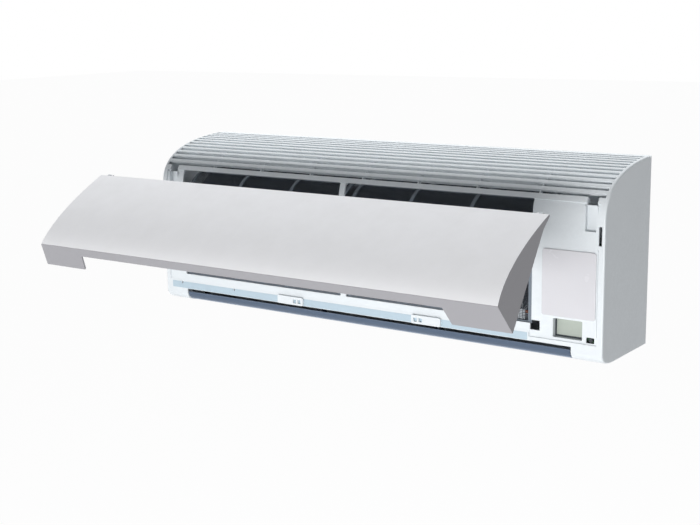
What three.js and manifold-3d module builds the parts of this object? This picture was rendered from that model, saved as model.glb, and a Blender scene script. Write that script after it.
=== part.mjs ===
// Wall-mounted indoor unit of a split air conditioner, with its front panel lifted off and swung open.
// Millimetres. +X is to the right seen from the room, +Y points into the wall, +Z is up.
// Inside this file the wall is the plane y = 0 and the underside of the casing is z = 0;
// the last lines move the model so that the centre of the mounting plate's back face is the origin.
import * as THREE from 'three';
import { mergeVertices } from 'three/addons/utils/BufferGeometryUtils.js';
import Module from 'manifold-3d';

const wasm = await Module();
wasm.setup();

// ---------------------------------------------------------------- driving dimensions
const CASING_WIDTH = 798;
const CASING_HEIGHT = 274;
const CASING_DEPTH = 155;
const CASING_WALL = 2.5;
const HALF_WIDTH = CASING_WIDTH / 2;
const FRONT_Y = -CASING_DEPTH;
const WALL_CLEARANCE = 1;          // casing and chassis rims stop this far short of the wall
const GAP = 0.3;                   // between pieces that seat on each other

// crown: the curve of the top, from the wall over to the flat front
const CROWN_RUN = 75;              // level stretch at the rear
const CROWN_TILT = 2;              // how far that stretch falls
const CROWN_SHOULDER = 17;         // height of the front handle of the curve below the top
const CROWN_DROP = 72;             // where the crown ends in the flat front
const BELLY_RISE = 18;             // rounding between the front and the underside, up the front
const BELLY_RUN = 45;              // and along the underside

// intake grille in the crown
const SLAT_COUNT = 11;
const SLAT_WIDTH = 6.4;
const SLAT_DEPTH = 7;
const GRILLE_REAR_BAND = 13;       // solid strip along the rear edge of the top
const GRILLE_SIDE_BAND = 5;
const GRILLE_BAR_HEIGHT = 7;       // bright bar under the last slat
const GRILLE_RIB_COUNT = 7;
const GRILLE_RIB_THICKNESS = 2;

// front frame behind the panel
const FRAME_RECESS = 2;            // set back from the casing's front edges
const FRAME_EDGE = 9;              // width of the rim left and right of it
const LEFT_FRAME = 44;             // from the casing's left side to the filter openings
const CONTROL_WIDTH = 108;         // from them to its right side
const OPENING_LEFT = LEFT_FRAME - HALF_WIDTH;
const OPENING_RIGHT = HALF_WIDTH - CONTROL_WIDTH;
const OPENING_BOTTOM = 49;
const OPENING_DROP = 49;           // from the casing's top down to the openings
const OPENING_TOP = CASING_HEIGHT - OPENING_DROP;
const MULLION_OFFSET = 1;
const MULLION_X = (OPENING_LEFT + OPENING_RIGHT) / 2 + MULLION_OFFSET;
const MULLION_WIDTH = 10;
const STRIP_BOTTOM = 24;
const STRIP_TOP = 41;
const STRIP_THICKNESS = 5.5;
const STRIP_BEVEL = 3;

// screws through the lower strip and the caps over them
const SCREW_FROM_LEFT = 268;
const SCREW_FROM_RIGHT = 278;
const SCREW_X = [SCREW_FROM_LEFT - HALF_WIDTH, HALF_WIDTH - SCREW_FROM_RIGHT];
const SCREW_Z = 31;
const SCREW_RADIUS = 2;
const CAP_WIDTH = 50;
const CAP_HEIGHT = 13;
const CAP_DEPTH = 3.4;

// hinge arms of the panel and their channels in the frame
const HINGE_X = HALF_WIDTH - 22;
const HINGE_Y = FRONT_Y + 8;
const HINGE_Z = OPENING_TOP + 4;
const CHANNEL_WIDTH = 16;
const CHANNEL_BOTTOM = HINGE_Z - 43;
const CHANNEL_DEPTH = 7;
const ARM_THICKNESS = 3;
const ARM_EYE_RADIUS = 3.6;
const PIN_RADIUS = 2.2;
const BUSH_RADIUS = 4;
const BUSH_LENGTH = 6;

// front panel, closed
const PANEL_INSET = 10;            // its top and front edges end this far inside the casing's sides
const PANEL_WIDTH = CASING_WIDTH - 2 * PANEL_INSET;
const PANEL_WALL = 2.5;
const PANEL_RIB = 1.6;
const RIB_PITCH = PANEL_WIDTH / 6;
const PANEL_TOP = [FRONT_Y + 1.5, OPENING_TOP + 2.8];
const PANEL_NOSE = [FRONT_Y - 38.4, 73.9];
const PANEL_HEEL = [FRONT_Y - 1, 60];
const PANEL_BULGE_TOP = 10;
const PANEL_BULGE_LOW = 17;
const LIP_STRIP = 14;              // the lip is cut back to this width between the two end tabs
const LIP_TAB_WIDTH = 79;
const LIP_TAB_INNER = PANEL_WIDTH / 2 - LIP_TAB_WIDTH;
const LIP_TAB_DRAFT = 8;
const PANEL_OPEN_DEGREES = 41;
const PANEL_PULLED = 150.3;        // how far the panel is lifted off the casing

// right-hand control area
const COVER_LEFT = OPENING_RIGHT + 16;
const COVER_RIGHT = HALF_WIDTH - 12;
const COVER_BOTTOM = 64;
const COVER_TOP = CHANNEL_BOTTOM - 28;
const COVER_THICKNESS = 1.7;
const COVER_LAP = 4;               // how far the cover reaches past its opening left and right
const COVER_LAP_ENDS = 8;          // and above and below
const WINDOW_LEFT = HALF_WIDTH - 75;
const WINDOW_RIGHT = HALF_WIDTH - 31;
const WINDOW_BOTTOM = 34;
const WINDOW_TOP = 62;
const WINDOW_SETBACK = 9;
const BUTTON_X = HALF_WIDTH - 19;
const BUTTON_Z = 36;
const BUTTON_RADIUS = 3;
const BUTTON_TRAVEL = 1.2;

// cross-flow fan and its air path
const FAN_Y = FRONT_Y + 83;
const FAN_Z = 100;
const FAN_RADIUS = 42;
const FAN_BLADES = 16;
const FAN_DISCS = 4;
const FAN_BLADE_DEPTH = 9;
const FAN_SHAFT_RADIUS = 4;
const SCROLL_START = 4;            // gap between fan and scroll at the rear
const DUCT_REAR = 52;              // distance of the duct's rear wall from the fan axis
const DUCT_FRONT = 2;              // distance of its front wall from the fan axis plane
const SCROLL_WALL = 3;
const FRAME_LEFT = OPENING_LEFT + 1;   // inner faces of the chassis side frames
const FRAME_RIGHT = OPENING_RIGHT - 17;
const FRAME_THICKNESS = 3;
const FAN_LEFT = FRAME_LEFT + 14;
const FAN_RIGHT = FRAME_RIGHT - 12;
const FLOOR_Z = 27.3;              // underside of the floors beside the outlet

// outlet vane and its pivot
const VANE_HALF_LENGTH = HALF_WIDTH - 48;
const VANE_TOP = 19.5;
const VANE_REAR = FAN_Y - 26.5;
const VANE_THICKNESS = 2.5;
const VANE_INSET = 0.6;
const VANE_SEAM = 0.22;            // share of the underside's curve where the front strip meets the vane
const VANE_PIVOT_Y = FAN_Y - 36;
const VANE_PIVOT_Z = 11;
const VANE_PIN_RADIUS = 2;
const VANE_TAB = 4;

// vertical deflector blades
const BLADES_PER_SIDE = 5;
const BLADE_FIRST_X = FRAME_LEFT + 56.5;
const BLADE_LAST_X = FRAME_RIGHT - 76.5;
const BLADE_PITCH = (BLADE_LAST_X - BLADE_FIRST_X) / (2 * BLADES_PER_SIDE - 1);
const VANE_SUPPORTS = [BLADES_PER_SIDE - 1.5, 2 * BLADES_PER_SIDE - 2.5]
  .map((place) => BLADE_FIRST_X + BLADE_PITCH * place);
const BLADE_THICKNESS = 1.4;
const BLADE_START = 48;            // along the duct, from the fan axis
const BLADE_END = 70;
const BLADE_PIVOT = 60;
const BLADE_LINK = 51.2;
const LINK_SIDE = 3;

// heat exchanger
const COIL_THICKNESS = 22;
const COIL_FRONT_Y = FRONT_Y + 11.7;
const COIL_FRONT_TOP = CASING_HEIGHT - 116;
const PAN_FLOOR = 54;
const UPPER_SLAB = [[FRONT_Y + 24.5, CASING_HEIGHT - 103], [FRONT_Y + 75, CASING_HEIGHT - 70.5]];
const REAR_SLAB = [[FRONT_Y + 89, CASING_HEIGHT - 74], [FRONT_Y + 128, CASING_HEIGHT - 115]];
const COIL_PLATE = 1;
const PIPE_RADIUS = 3.5;

// air filters
const FILTER_Y = FRONT_Y + 5.8;
const FILTER_FRAME = 2;
const FILTER_MESH = 0.7;
const FILTER_BEND = CASING_HEIGHT - 124;
const FILTER_TOP = OPENING_TOP - 3.5;
const FILTER_REAR = FRONT_Y + 110;
const FILTER_BAR = 5;
const FILTER_CELLS = 3;
const FILTER_CLEARANCE = 1;

// fan motor, control box, wall plate
const MOTOR_RADIUS = 40;
const MOTOR_LEFT = FRAME_RIGHT + 16;
const MOTOR_LENGTH = 56;
const BOX_LEFT = HALF_WIDTH - 104;
const BOX_RIGHT = HALF_WIDTH - 7;
const BOX_BOTTOM = COVER_BOTTOM + 2;
const BOX_TOP = COVER_TOP + 14;
const BOX_REAR = FRONT_Y + 38;
const PLATE_INSET = 54;            // from the casing's sides to the plate's
const PLATE_WIDTH = CASING_WIDTH - 2 * PLATE_INSET;
const HOOK_X = PLATE_WIDTH / 2 - 115;
const PLATE_BOTTOM = 45;
const PLATE_TOP = CASING_HEIGHT - 39;
const PLATE_THICKNESS = 1.2;
const PLATE_CENTRE = (PLATE_BOTTOM + PLATE_TOP) / 2;
const CHASSIS_BACK = -6.5;         // rear face of the chassis's back wall

// drain spigots
const SPIGOT_Y = FRONT_Y + 25;
const SPIGOT_Z = PAN_FLOOR + 5;
const SPIGOT_RADIUS = 5;
const SPIGOT_BORE = 3.5;

// ---------------------------------------------------------------- colours
const WHITE = { color: 0xe9edef, roughness: 0.38, metalness: 0 };
const PANEL_WHITE = { color: 0xe6e6e9, roughness: 0.3, metalness: 0 };
const PALE_GREY = { color: 0xcfd4d8, roughness: 0.5, metalness: 0 };
const DARK_GREY = { color: 0x2b3238, roughness: 0.6, metalness: 0 };
const SLATE = { color: 0x5f7086, roughness: 0.42, metalness: 0 };
const FILTER_GREY = { color: 0x6d7680, roughness: 0.6, metalness: 0 };
const BLACK_MESH = { color: 0x20262d, roughness: 0.8, metalness: 0 };
const STEEL = { color: 0xb9bcbe, roughness: 0.4, metalness: 0.9 };
const ALUMINIUM = { color: 0xb4bbc0, roughness: 0.45, metalness: 0.8 };
const COPPER = { color: 0xb87350, roughness: 0.35, metalness: 0.9 };
const BRASS = { color: 0xc0a15a, roughness: 0.35, metalness: 0.9 };
const RUBBER = { color: 0x222222, roughness: 0.9, metalness: 0 };
const BOARD_GREEN = { color: 0x3d6b4a, roughness: 0.6, metalness: 0 };
const WINDOW_TINT = { color: 0xb9c0b8, roughness: 0.25, metalness: 0 };

// ---------------------------------------------------------------- small tools
const X_AXIS = new THREE.Vector3(1, 0, 0);
const Y_AXIS = new THREE.Vector3(0, 1, 0);
const Z_AXIS = new THREE.Vector3(0, 0, 1);
const SIDE_VIEW = new THREE.Matrix4().makeBasis(Y_AXIS, Z_AXIS, X_AXIS);
const FRONT_VIEW = new THREE.Matrix4().makeBasis(X_AXIS, Z_AXIS, Y_AXIS.clone().negate());

function solidOf(geometry) {
  const bare = geometry.clone();
  bare.deleteAttribute('normal');
  bare.deleteAttribute('uv');
  const merged = mergeVertices(bare, 1e-4);
  const vertProperties = new Float32Array(merged.attributes.position.array);
  const triVerts = new Uint32Array(merged.index.array);
  return new wasm.Manifold(new wasm.Mesh({ numProp: 3, vertProperties, triVerts }));
}

function geometryOf(solid) {
  const mesh = solid.getMesh();
  const geometry = new THREE.BufferGeometry();
  geometry.setAttribute('position', new THREE.BufferAttribute(mesh.vertProperties, 3));
  geometry.setIndex(new THREE.BufferAttribute(mesh.triVerts, 1));
  return geometry;
}

function joined(solids) {
  return solids.reduce((whole, piece) => whole.add(piece));
}

function cutBy(solid, cutters) {
  return cutters.reduce((left, cutter) => left.subtract(cutter), solid);
}

function box(x0, x1, y0, y1, z0, z1) {
  const geometry = new THREE.BoxGeometry(x1 - x0, y1 - y0, z1 - z0);
  geometry.translate((x0 + x1) / 2, (y0 + y1) / 2, (z0 + z1) / 2);
  return solidOf(geometry);
}

function shapeOf(points) {
  return new THREE.Shape(points.map((p) => (Array.isArray(p) ? new THREE.Vector2(...p) : p)));
}

// a side-view outline (points are y, z) drawn out from x0 to x1
function alongX(points, x0, x1) {
  const geometry = new THREE.ExtrudeGeometry(shapeOf(points), { depth: x1 - x0, bevelEnabled: false });
  geometry.applyMatrix4(SIDE_VIEW);
  geometry.translate(x0, 0, 0);
  return solidOf(geometry);
}

// a front-view outline (points are x, z) drawn out from yFront back to yRear
function alongY(points, yFront, yRear) {
  const depth = yRear - yFront;
  const geometry = new THREE.ExtrudeGeometry(shapeOf(points), { depth, bevelEnabled: false });
  geometry.applyMatrix4(FRONT_VIEW);
  geometry.translate(0, yRear, 0);
  return solidOf(geometry);
}

function rod(radius, x0, x1, y, z, sides = 16) {
  const geometry = new THREE.CylinderGeometry(radius, radius, x1 - x0, sides);
  geometry.rotateZ(-Math.PI / 2);
  geometry.translate((x0 + x1) / 2, y, z);
  return solidOf(geometry);
}

// a short round bar that points at the wall, from yFront back to yRear
function stub(radius, x, z, yFront, yRear, sides = 12) {
  const geometry = new THREE.CylinderGeometry(radius, radius, yRear - yFront, sides);
  geometry.translate(x, (yFront + yRear) / 2, z);
  return solidOf(geometry);
}

function ringOf(outer, inner, x0, x1, y, z, sides = 20) {
  return rod(outer, x0, x1, y, z, sides).subtract(rod(inner, x0 - 1, x1 + 1, y, z, sides));
}

function onCircle(y, z, radius, degrees) {
  const angle = THREE.MathUtils.degToRad(degrees);
  return [y + radius * Math.cos(angle), z + radius * Math.sin(angle)];
}

function arcPoints(y, z, radius, fromDegrees, toDegrees, steps) {
  const step = (toDegrees - fromDegrees) / steps;
  return Array.from({ length: steps + 1 }, (_, i) => onCircle(y, z, radius, fromDegrees + step * i));
}

const unit = new THREE.Group();

function addNode(name, solid, finish, parent = unit) {
  const mesh = new THREE.Mesh(geometryOf(solid), new THREE.MeshStandardMaterial(finish));
  mesh.name = name;
  parent.add(mesh);
  return mesh;
}

// ---------------------------------------------------------------- casing outline
const crown = new THREE.CubicBezierCurve(
  new THREE.Vector2(-WALL_CLEARANCE, CASING_HEIGHT),
  new THREE.Vector2(-CROWN_RUN, CASING_HEIGHT - CROWN_TILT),
  new THREE.Vector2(FRONT_Y, CASING_HEIGHT - CROWN_SHOULDER),
  new THREE.Vector2(FRONT_Y, CASING_HEIGHT - CROWN_DROP),
);
const belly = new THREE.QuadraticBezierCurve(
  new THREE.Vector2(FRONT_Y, BELLY_RISE),
  new THREE.Vector2(FRONT_Y, 0),
  new THREE.Vector2(FRONT_Y + BELLY_RUN, 0),
);
const CROWN_LENGTH = crown.getLength();

// a point of a curve that runs from the top rear to the bottom, moved in by depth
function curvePoint(curve, u, depth) {
  const point = curve.getPointAt(u);
  const tangent = curve.getTangentAt(u);
  return new THREE.Vector2(point.x - tangent.y * depth, point.y + tangent.x * depth);
}

function curvePoints(curve, from, to, depth, steps) {
  const step = (to - from) / steps;
  return Array.from({ length: steps + 1 }, (_, i) => curvePoint(curve, from + step * i, depth));
}

function crownShareAtHeight(height) {
  let low = 0;
  let high = 1;
  for (let i = 0; i < 30; i += 1) {
    const middle = (low + high) / 2;
    if (crown.getPointAt(middle).y > height) low = middle;
    else high = middle;
  }
  return low;
}

// the strip of crown between two shares of its length and two depths under its surface
function crownBand(from, to, outer, inner, steps) {
  const outside = curvePoints(crown, from, to, outer, steps);
  const inside = curvePoints(crown, from, to, inner, steps).reverse();
  return [...outside, ...inside];
}

// the whole side view of the casing, moved in by inset and carried back to rearY
function casingOutline(inset, rearY) {
  const top = curvePoints(crown, 0, 1, inset, 14);
  const bottom = curvePoints(belly, 0, 1, inset, 6);
  return [[rearY, top[0].y], ...top.slice(1), ...bottom, [rearY, inset]];
}

function casingShell(outerInset, innerInset, halfWidth) {
  const outside = alongX(casingOutline(outerInset, -WALL_CLEARANCE), -halfWidth, halfWidth);
  const insideHalf = HALF_WIDTH - CASING_WALL;
  return outside.subtract(alongX(casingOutline(innerInset, 10), -insideHalf, insideHalf));
}

// ---------------------------------------------------------------- front casing
const BAR_TOP_SHARE = crownShareAtHeight(OPENING_TOP + GRILLE_BAR_HEIGHT);
const BAR_BOTTOM_SHARE = crownShareAtHeight(OPENING_TOP);
const FRAME_HALF = HALF_WIDTH - FRAME_EDGE;
const FRAME_FRONT = FRONT_Y + FRAME_RECESS;
const FRAME_BACK = FRAME_FRONT + CASING_WALL;
const GRILLE_HALF = HALF_WIDTH - GRILLE_SIDE_BAND;

function grilleSlats() {
  const start = GRILLE_REAR_BAND / CROWN_LENGTH;
  const pitch = (BAR_TOP_SHARE - start) / (SLAT_COUNT + 0.5);
  const halfOuter = SLAT_WIDTH / 2 / CROWN_LENGTH;
  const halfInner = halfOuter * 0.55;
  return Array.from({ length: SLAT_COUNT }, (_, i) => {
    const middle = start + pitch * (i + 0.75);
    const section = [
      curvePoint(crown, middle - halfOuter, 0),
      curvePoint(crown, middle + halfOuter, 0),
      curvePoint(crown, middle + halfInner, SLAT_DEPTH),
      curvePoint(crown, middle - halfInner, SLAT_DEPTH),
    ];
    return alongX(section, -GRILLE_HALF - 1, GRILLE_HALF + 1);
  });
}

function grilleRibs() {
  const start = (GRILLE_REAR_BAND - 2) / CROWN_LENGTH;
  const section = crownBand(start, BAR_BOTTOM_SHARE, SLAT_DEPTH * 0.35, SLAT_DEPTH + 2, 6);
  const pitch = (2 * GRILLE_HALF) / (GRILLE_RIB_COUNT + 1);
  return Array.from({ length: GRILLE_RIB_COUNT }, (_, i) => {
    const x = -GRILLE_HALF + pitch * (i + 1);
    return alongX(section, x - GRILLE_RIB_THICKNESS / 2, x + GRILLE_RIB_THICKNESS / 2);
  });
}

function hingeChannel(side) {
  const left = side * HINGE_X - CHANNEL_WIDTH / 2;
  const right = side * HINGE_X + CHANNEL_WIDTH / 2;
  const back = FRAME_FRONT + CHANNEL_DEPTH;
  const floorTop = HINGE_Z - BUSH_RADIUS - 4;
  const outer = box(left - 2, right + 2, FRAME_FRONT + 0.5, back + 2, CHANNEL_BOTTOM - 2, floorTop);
  return outer.subtract(box(left, right, FRONT_Y - 1, back, CHANNEL_BOTTOM, floorTop + 1));
}

function channelCut(side) {
  const left = side * HINGE_X - CHANNEL_WIDTH / 2;
  const top = HINGE_Z + BUSH_RADIUS + 3;
  return box(left, left + CHANNEL_WIDTH, FRONT_Y - 1, HINGE_Y + BUSH_RADIUS + 5, CHANNEL_BOTTOM, top);
}

function lowerStrip() {
  const back = FRONT_Y + STRIP_THICKNESS;
  const section = [
    [FRONT_Y, STRIP_BOTTOM],
    [back, STRIP_BOTTOM],
    [back, STRIP_TOP],
    [FRONT_Y + STRIP_BEVEL, STRIP_TOP],
    [FRONT_Y, STRIP_TOP - STRIP_BEVEL * 1.6],
  ];
  const lowSection = [
    [FRONT_Y, STRIP_BOTTOM],
    [back, STRIP_BOTTOM],
    [back, STRIP_BOTTOM + 6],
    [FRONT_Y, STRIP_BOTTOM + 6],
  ];
  const inner = HALF_WIDTH - CASING_WALL + 0.5;
  return alongX(section, -inner, OPENING_RIGHT - 3).add(alongX(lowSection, -inner, inner));
}

// short square tunnel behind the display opening, down to the window
function windowTunnel() {
  const front = FRAME_FRONT + 0.5;
  const back = FRAME_FRONT + WINDOW_SETBACK - GAP;
  const low = WINDOW_BOTTOM - 1.5;
  const outer = box(WINDOW_LEFT - 1.5, WINDOW_RIGHT + 1.5, front, back, low, WINDOW_TOP + 0.5);
  const bore = box(WINDOW_LEFT, WINDOW_RIGHT, front - 1, back + 1, WINDOW_BOTTOM, WINDOW_TOP - 1);
  return outer.subtract(bore);
}

function frontCasing() {
  const openingMiddle = [MULLION_X - MULLION_WIDTH / 2, MULLION_X + MULLION_WIDTH / 2];
  const reach = FRONT_Y + 20;
  const grilleHole = crownBand(GRILLE_REAR_BAND / CROWN_LENGTH, BAR_BOTTOM_SHARE, -2, 6, 14);
  const shell = cutBy(casingShell(0, CASING_WALL, HALF_WIDTH), [
    alongX(grilleHole, -GRILLE_HALF, GRILLE_HALF),
    box(-FRAME_HALF, FRAME_HALF, FRONT_Y - 1, reach, STRIP_BOTTOM, OPENING_TOP + 1),
    box(-VANE_HALF_LENGTH - 1.5, VANE_HALF_LENGTH + 1.5, FRONT_Y - 1, VANE_REAR + 6, -1, STRIP_BOTTOM + 1),
    box(-HALF_WIDTH + CASING_WALL, HALF_WIDTH - CASING_WALL, VANE_REAR - 1, 1, -1, 6),
  ]);
  const frameBand = casingShell(FRAME_RECESS, FRAME_RECESS + CASING_WALL, HALF_WIDTH - 1)
    .intersect(box(-FRAME_HALF - 2.5, FRAME_HALF + 2.5, FRONT_Y - 1, reach, STRIP_BOTTOM, OPENING_TOP + 2));
  const barBand = crownBand(BAR_TOP_SHARE, BAR_BOTTOM_SHARE, 0, SLAT_DEPTH, 2);
  const bar = alongX(barBand, -GRILLE_HALF - 1, GRILLE_HALF + 1);
  const whole = joined([shell, frameBand, bar, lowerStrip(), ...grilleSlats(), ...grilleRibs()]);
  const opened = cutBy(whole, [
    box(OPENING_LEFT, openingMiddle[0], FRONT_Y - 1, reach, OPENING_BOTTOM, OPENING_TOP),
    box(openingMiddle[1], OPENING_RIGHT, FRONT_Y - 1, reach, OPENING_BOTTOM, OPENING_TOP),
    box(COVER_LEFT + COVER_LAP, COVER_RIGHT - COVER_LAP, FRONT_Y - 1, reach,
      COVER_BOTTOM + COVER_LAP_ENDS, COVER_TOP - COVER_LAP_ENDS),
    box(WINDOW_LEFT, WINDOW_RIGHT, FRONT_Y - 1, reach, WINDOW_BOTTOM, WINDOW_TOP - 1),
    box(OPENING_RIGHT - 2, OPENING_RIGHT + 13, FRONT_Y - 1, reach, STRIP_TOP - 1, OPENING_BOTTOM + 5),
    box(BUTTON_X - 6, BUTTON_X + 6, FRONT_Y - 1, reach, BUTTON_Z - 4, BUTTON_Z + 4),
    box(FRAME_HALF - 1, HALF_WIDTH - CASING_WALL - 2, FRONT_Y - 1, reach,
      CHANNEL_BOTTOM - 18, CHANNEL_BOTTOM + 8),
    channelCut(-1),
    channelCut(1),
    ...SCREW_X.map((x) => stub(SCREW_RADIUS + GAP, x, SCREW_Z, FRONT_Y - 1, reach)),
  ]);
  return joined([opened, hingeChannel(-1), hingeChannel(1), windowTunnel()]);
}

addNode('front_casing', frontCasing(), WHITE);

// ---------------------------------------------------------------- duct directions
// s runs down the outlet duct, n crosses it from the front wall to the rear wall
const DUCT_ANGLE = THREE.MathUtils.degToRad(45);
const DUCT_S = new THREE.Vector2(-Math.cos(DUCT_ANGLE), -Math.sin(DUCT_ANGLE));
const DUCT_N = new THREE.Vector2(Math.sin(DUCT_ANGLE), -Math.cos(DUCT_ANGLE));

function ductPoint(s, n) {
  return [FAN_Y + DUCT_S.x * s + DUCT_N.x * n, FAN_Z + DUCT_S.y * s + DUCT_N.y * n];
}

// ---------------------------------------------------------------- rear chassis
const SIDE_INNER = HALF_WIDTH - CASING_WALL - GAP - 0.7;
const BACK_FRONT = CHASSIS_BACK - CASING_WALL;
const CHASSIS_TOP = CASING_HEIGHT - CASING_WALL - 0.9;
const OUTLET_REAR = VANE_REAR + 2.5;
const OUTLET_SLOPE = 6;            // the outlet's rear edge leans back over this height

function scrollOutline() {
  const steps = 12;
  const from = 38;
  const to = -45;
  const inner = [];
  const outer = [];
  for (let i = 0; i <= steps; i += 1) {
    const share = i / steps;
    const angle = THREE.MathUtils.degToRad(from + (to - from) * share);
    const radius = FAN_RADIUS + SCROLL_START + (DUCT_REAR - FAN_RADIUS - SCROLL_START) * share;
    const direction = new THREE.Vector2(Math.cos(angle), Math.sin(angle));
    inner.push([FAN_Y + direction.x * radius, FAN_Z + direction.y * radius]);
    outer.push([FAN_Y + direction.x * (radius + SCROLL_WALL), FAN_Z + direction.y * (radius + SCROLL_WALL)]);
  }
  const lipS = (FAN_Z - DUCT_REAR * Math.cos(DUCT_ANGLE) - 1) / Math.sin(DUCT_ANGLE);
  const lip = [ductPoint(lipS, DUCT_REAR), ductPoint(lipS - SCROLL_WALL, DUCT_REAR + SCROLL_WALL)];
  return [...inner, ...lip, ...outer.reverse()];
}

function rearTrough() {
  const y = FAN_Y + FAN_RADIUS + SCROLL_START + 1;
  const z = FAN_Z + 24;
  const front = y - 8;
  const section = [
    [front, z + 6],
    [front + 2.5, z + 6],
    [front + 6, z + 2.5],
    [BACK_FRONT + 1, z + 2.5],
    [BACK_FRONT + 1, z],
    [front + 5, z],
  ];
  return alongX(section, FRAME_LEFT - 1, FRAME_RIGHT + 1);
}

function sideFrame(x0) {
  const outline = [
    [BACK_FRONT + 1, 1],
    [OUTLET_REAR, 1],
    [OUTLET_REAR + OUTLET_SLOPE, 1 + OUTLET_SLOPE],
    [OUTLET_REAR + OUTLET_SLOPE, FLOOR_Z],
    [FRAME_BACK + 1.2, FLOOR_Z],
    [FRAME_BACK + 1.2, OPENING_BOTTOM - 3],
    [COIL_FRONT_Y - 2, OPENING_BOTTOM - 1],
    [COIL_FRONT_Y - 2, PAN_FLOOR + 12],
    [FAN_Y - 40, FAN_Z - 22],
    [FAN_Y - 44, FAN_Z + 28],
    [FAN_Y - 24, FAN_Z + 52],
    [BACK_FRONT + 1, FAN_Z + 52],
  ];
  return alongX(outline, x0, x0 + FRAME_THICKNESS);
}

function sideFloor(x0, x1) {
  const top = FLOOR_Z + CASING_WALL;
  const front = OUTLET_REAR + OUTLET_SLOPE;
  const section = [
    [FRAME_BACK + 1.2, FLOOR_Z],
    [FRAME_BACK + 1.2, top],
    [front + CASING_WALL, top],
    [front + CASING_WALL, 1],
    [OUTLET_REAR, 1],
    [front, 1 + OUTLET_SLOPE],
    [front, FLOOR_Z],
  ];
  return alongX(section, x0, x1);
}

// a small tab that hangs beside the outlet and carries the vane's pivot
function vaneTab(x0, x1) {
  const radius = VANE_PIN_RADIUS + 2.6;
  const front = arcPoints(VANE_PIVOT_Y, VANE_PIVOT_Z, radius, 90, 270, 6);
  const wallAt = (z) => FAN_Y + Math.SQRT2 * (DUCT_REAR + SCROLL_WALL / 2) - (FAN_Z - z);
  const rear = [
    [wallAt(VANE_PIVOT_Z - radius), VANE_PIVOT_Z - radius],
    [wallAt(VANE_PIVOT_Z + radius), VANE_PIVOT_Z + radius],
  ];
  return alongX([...front, ...rear], x0, x1);
}

function motorCradle() {
  const outline = [
    [FAN_Y - MOTOR_RADIUS - 2, FAN_Z],
    [FAN_Y - MOTOR_RADIUS - 2, FLOOR_Z + 1],
    [OUTLET_REAR + OUTLET_SLOPE + 1, FLOOR_Z + 1],
    [OUTLET_REAR + OUTLET_SLOPE + 1, 1],
    [FAN_Y + MOTOR_RADIUS + 2, 1],
    [FAN_Y + MOTOR_RADIUS + 2, FAN_Z],
  ];
  const right = MOTOR_LEFT + MOTOR_LENGTH;
  const ribs = [MOTOR_LEFT + 8, right - 12].map((x) => alongX(outline, x, x + 4));
  return joined(ribs).subtract(rod(MOTOR_RADIUS + GAP, MOTOR_LEFT, right, FAN_Y, FAN_Z, 32));
}

function bladeX(index) {
  return BLADE_FIRST_X + BLADE_PITCH * index;
}

// a short round bar across the duct, from n0 to n1, at a given place along it
function ductRod(radius, x, s, n0, n1, sides = 10) {
  const geometry = new THREE.CylinderGeometry(radius, radius, n1 - n0, sides);
  geometry.rotateX(THREE.MathUtils.degToRad(-45));
  const [y, z] = ductPoint(s, (n0 + n1) / 2);
  geometry.translate(x, y, z);
  return solidOf(geometry);
}

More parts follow.
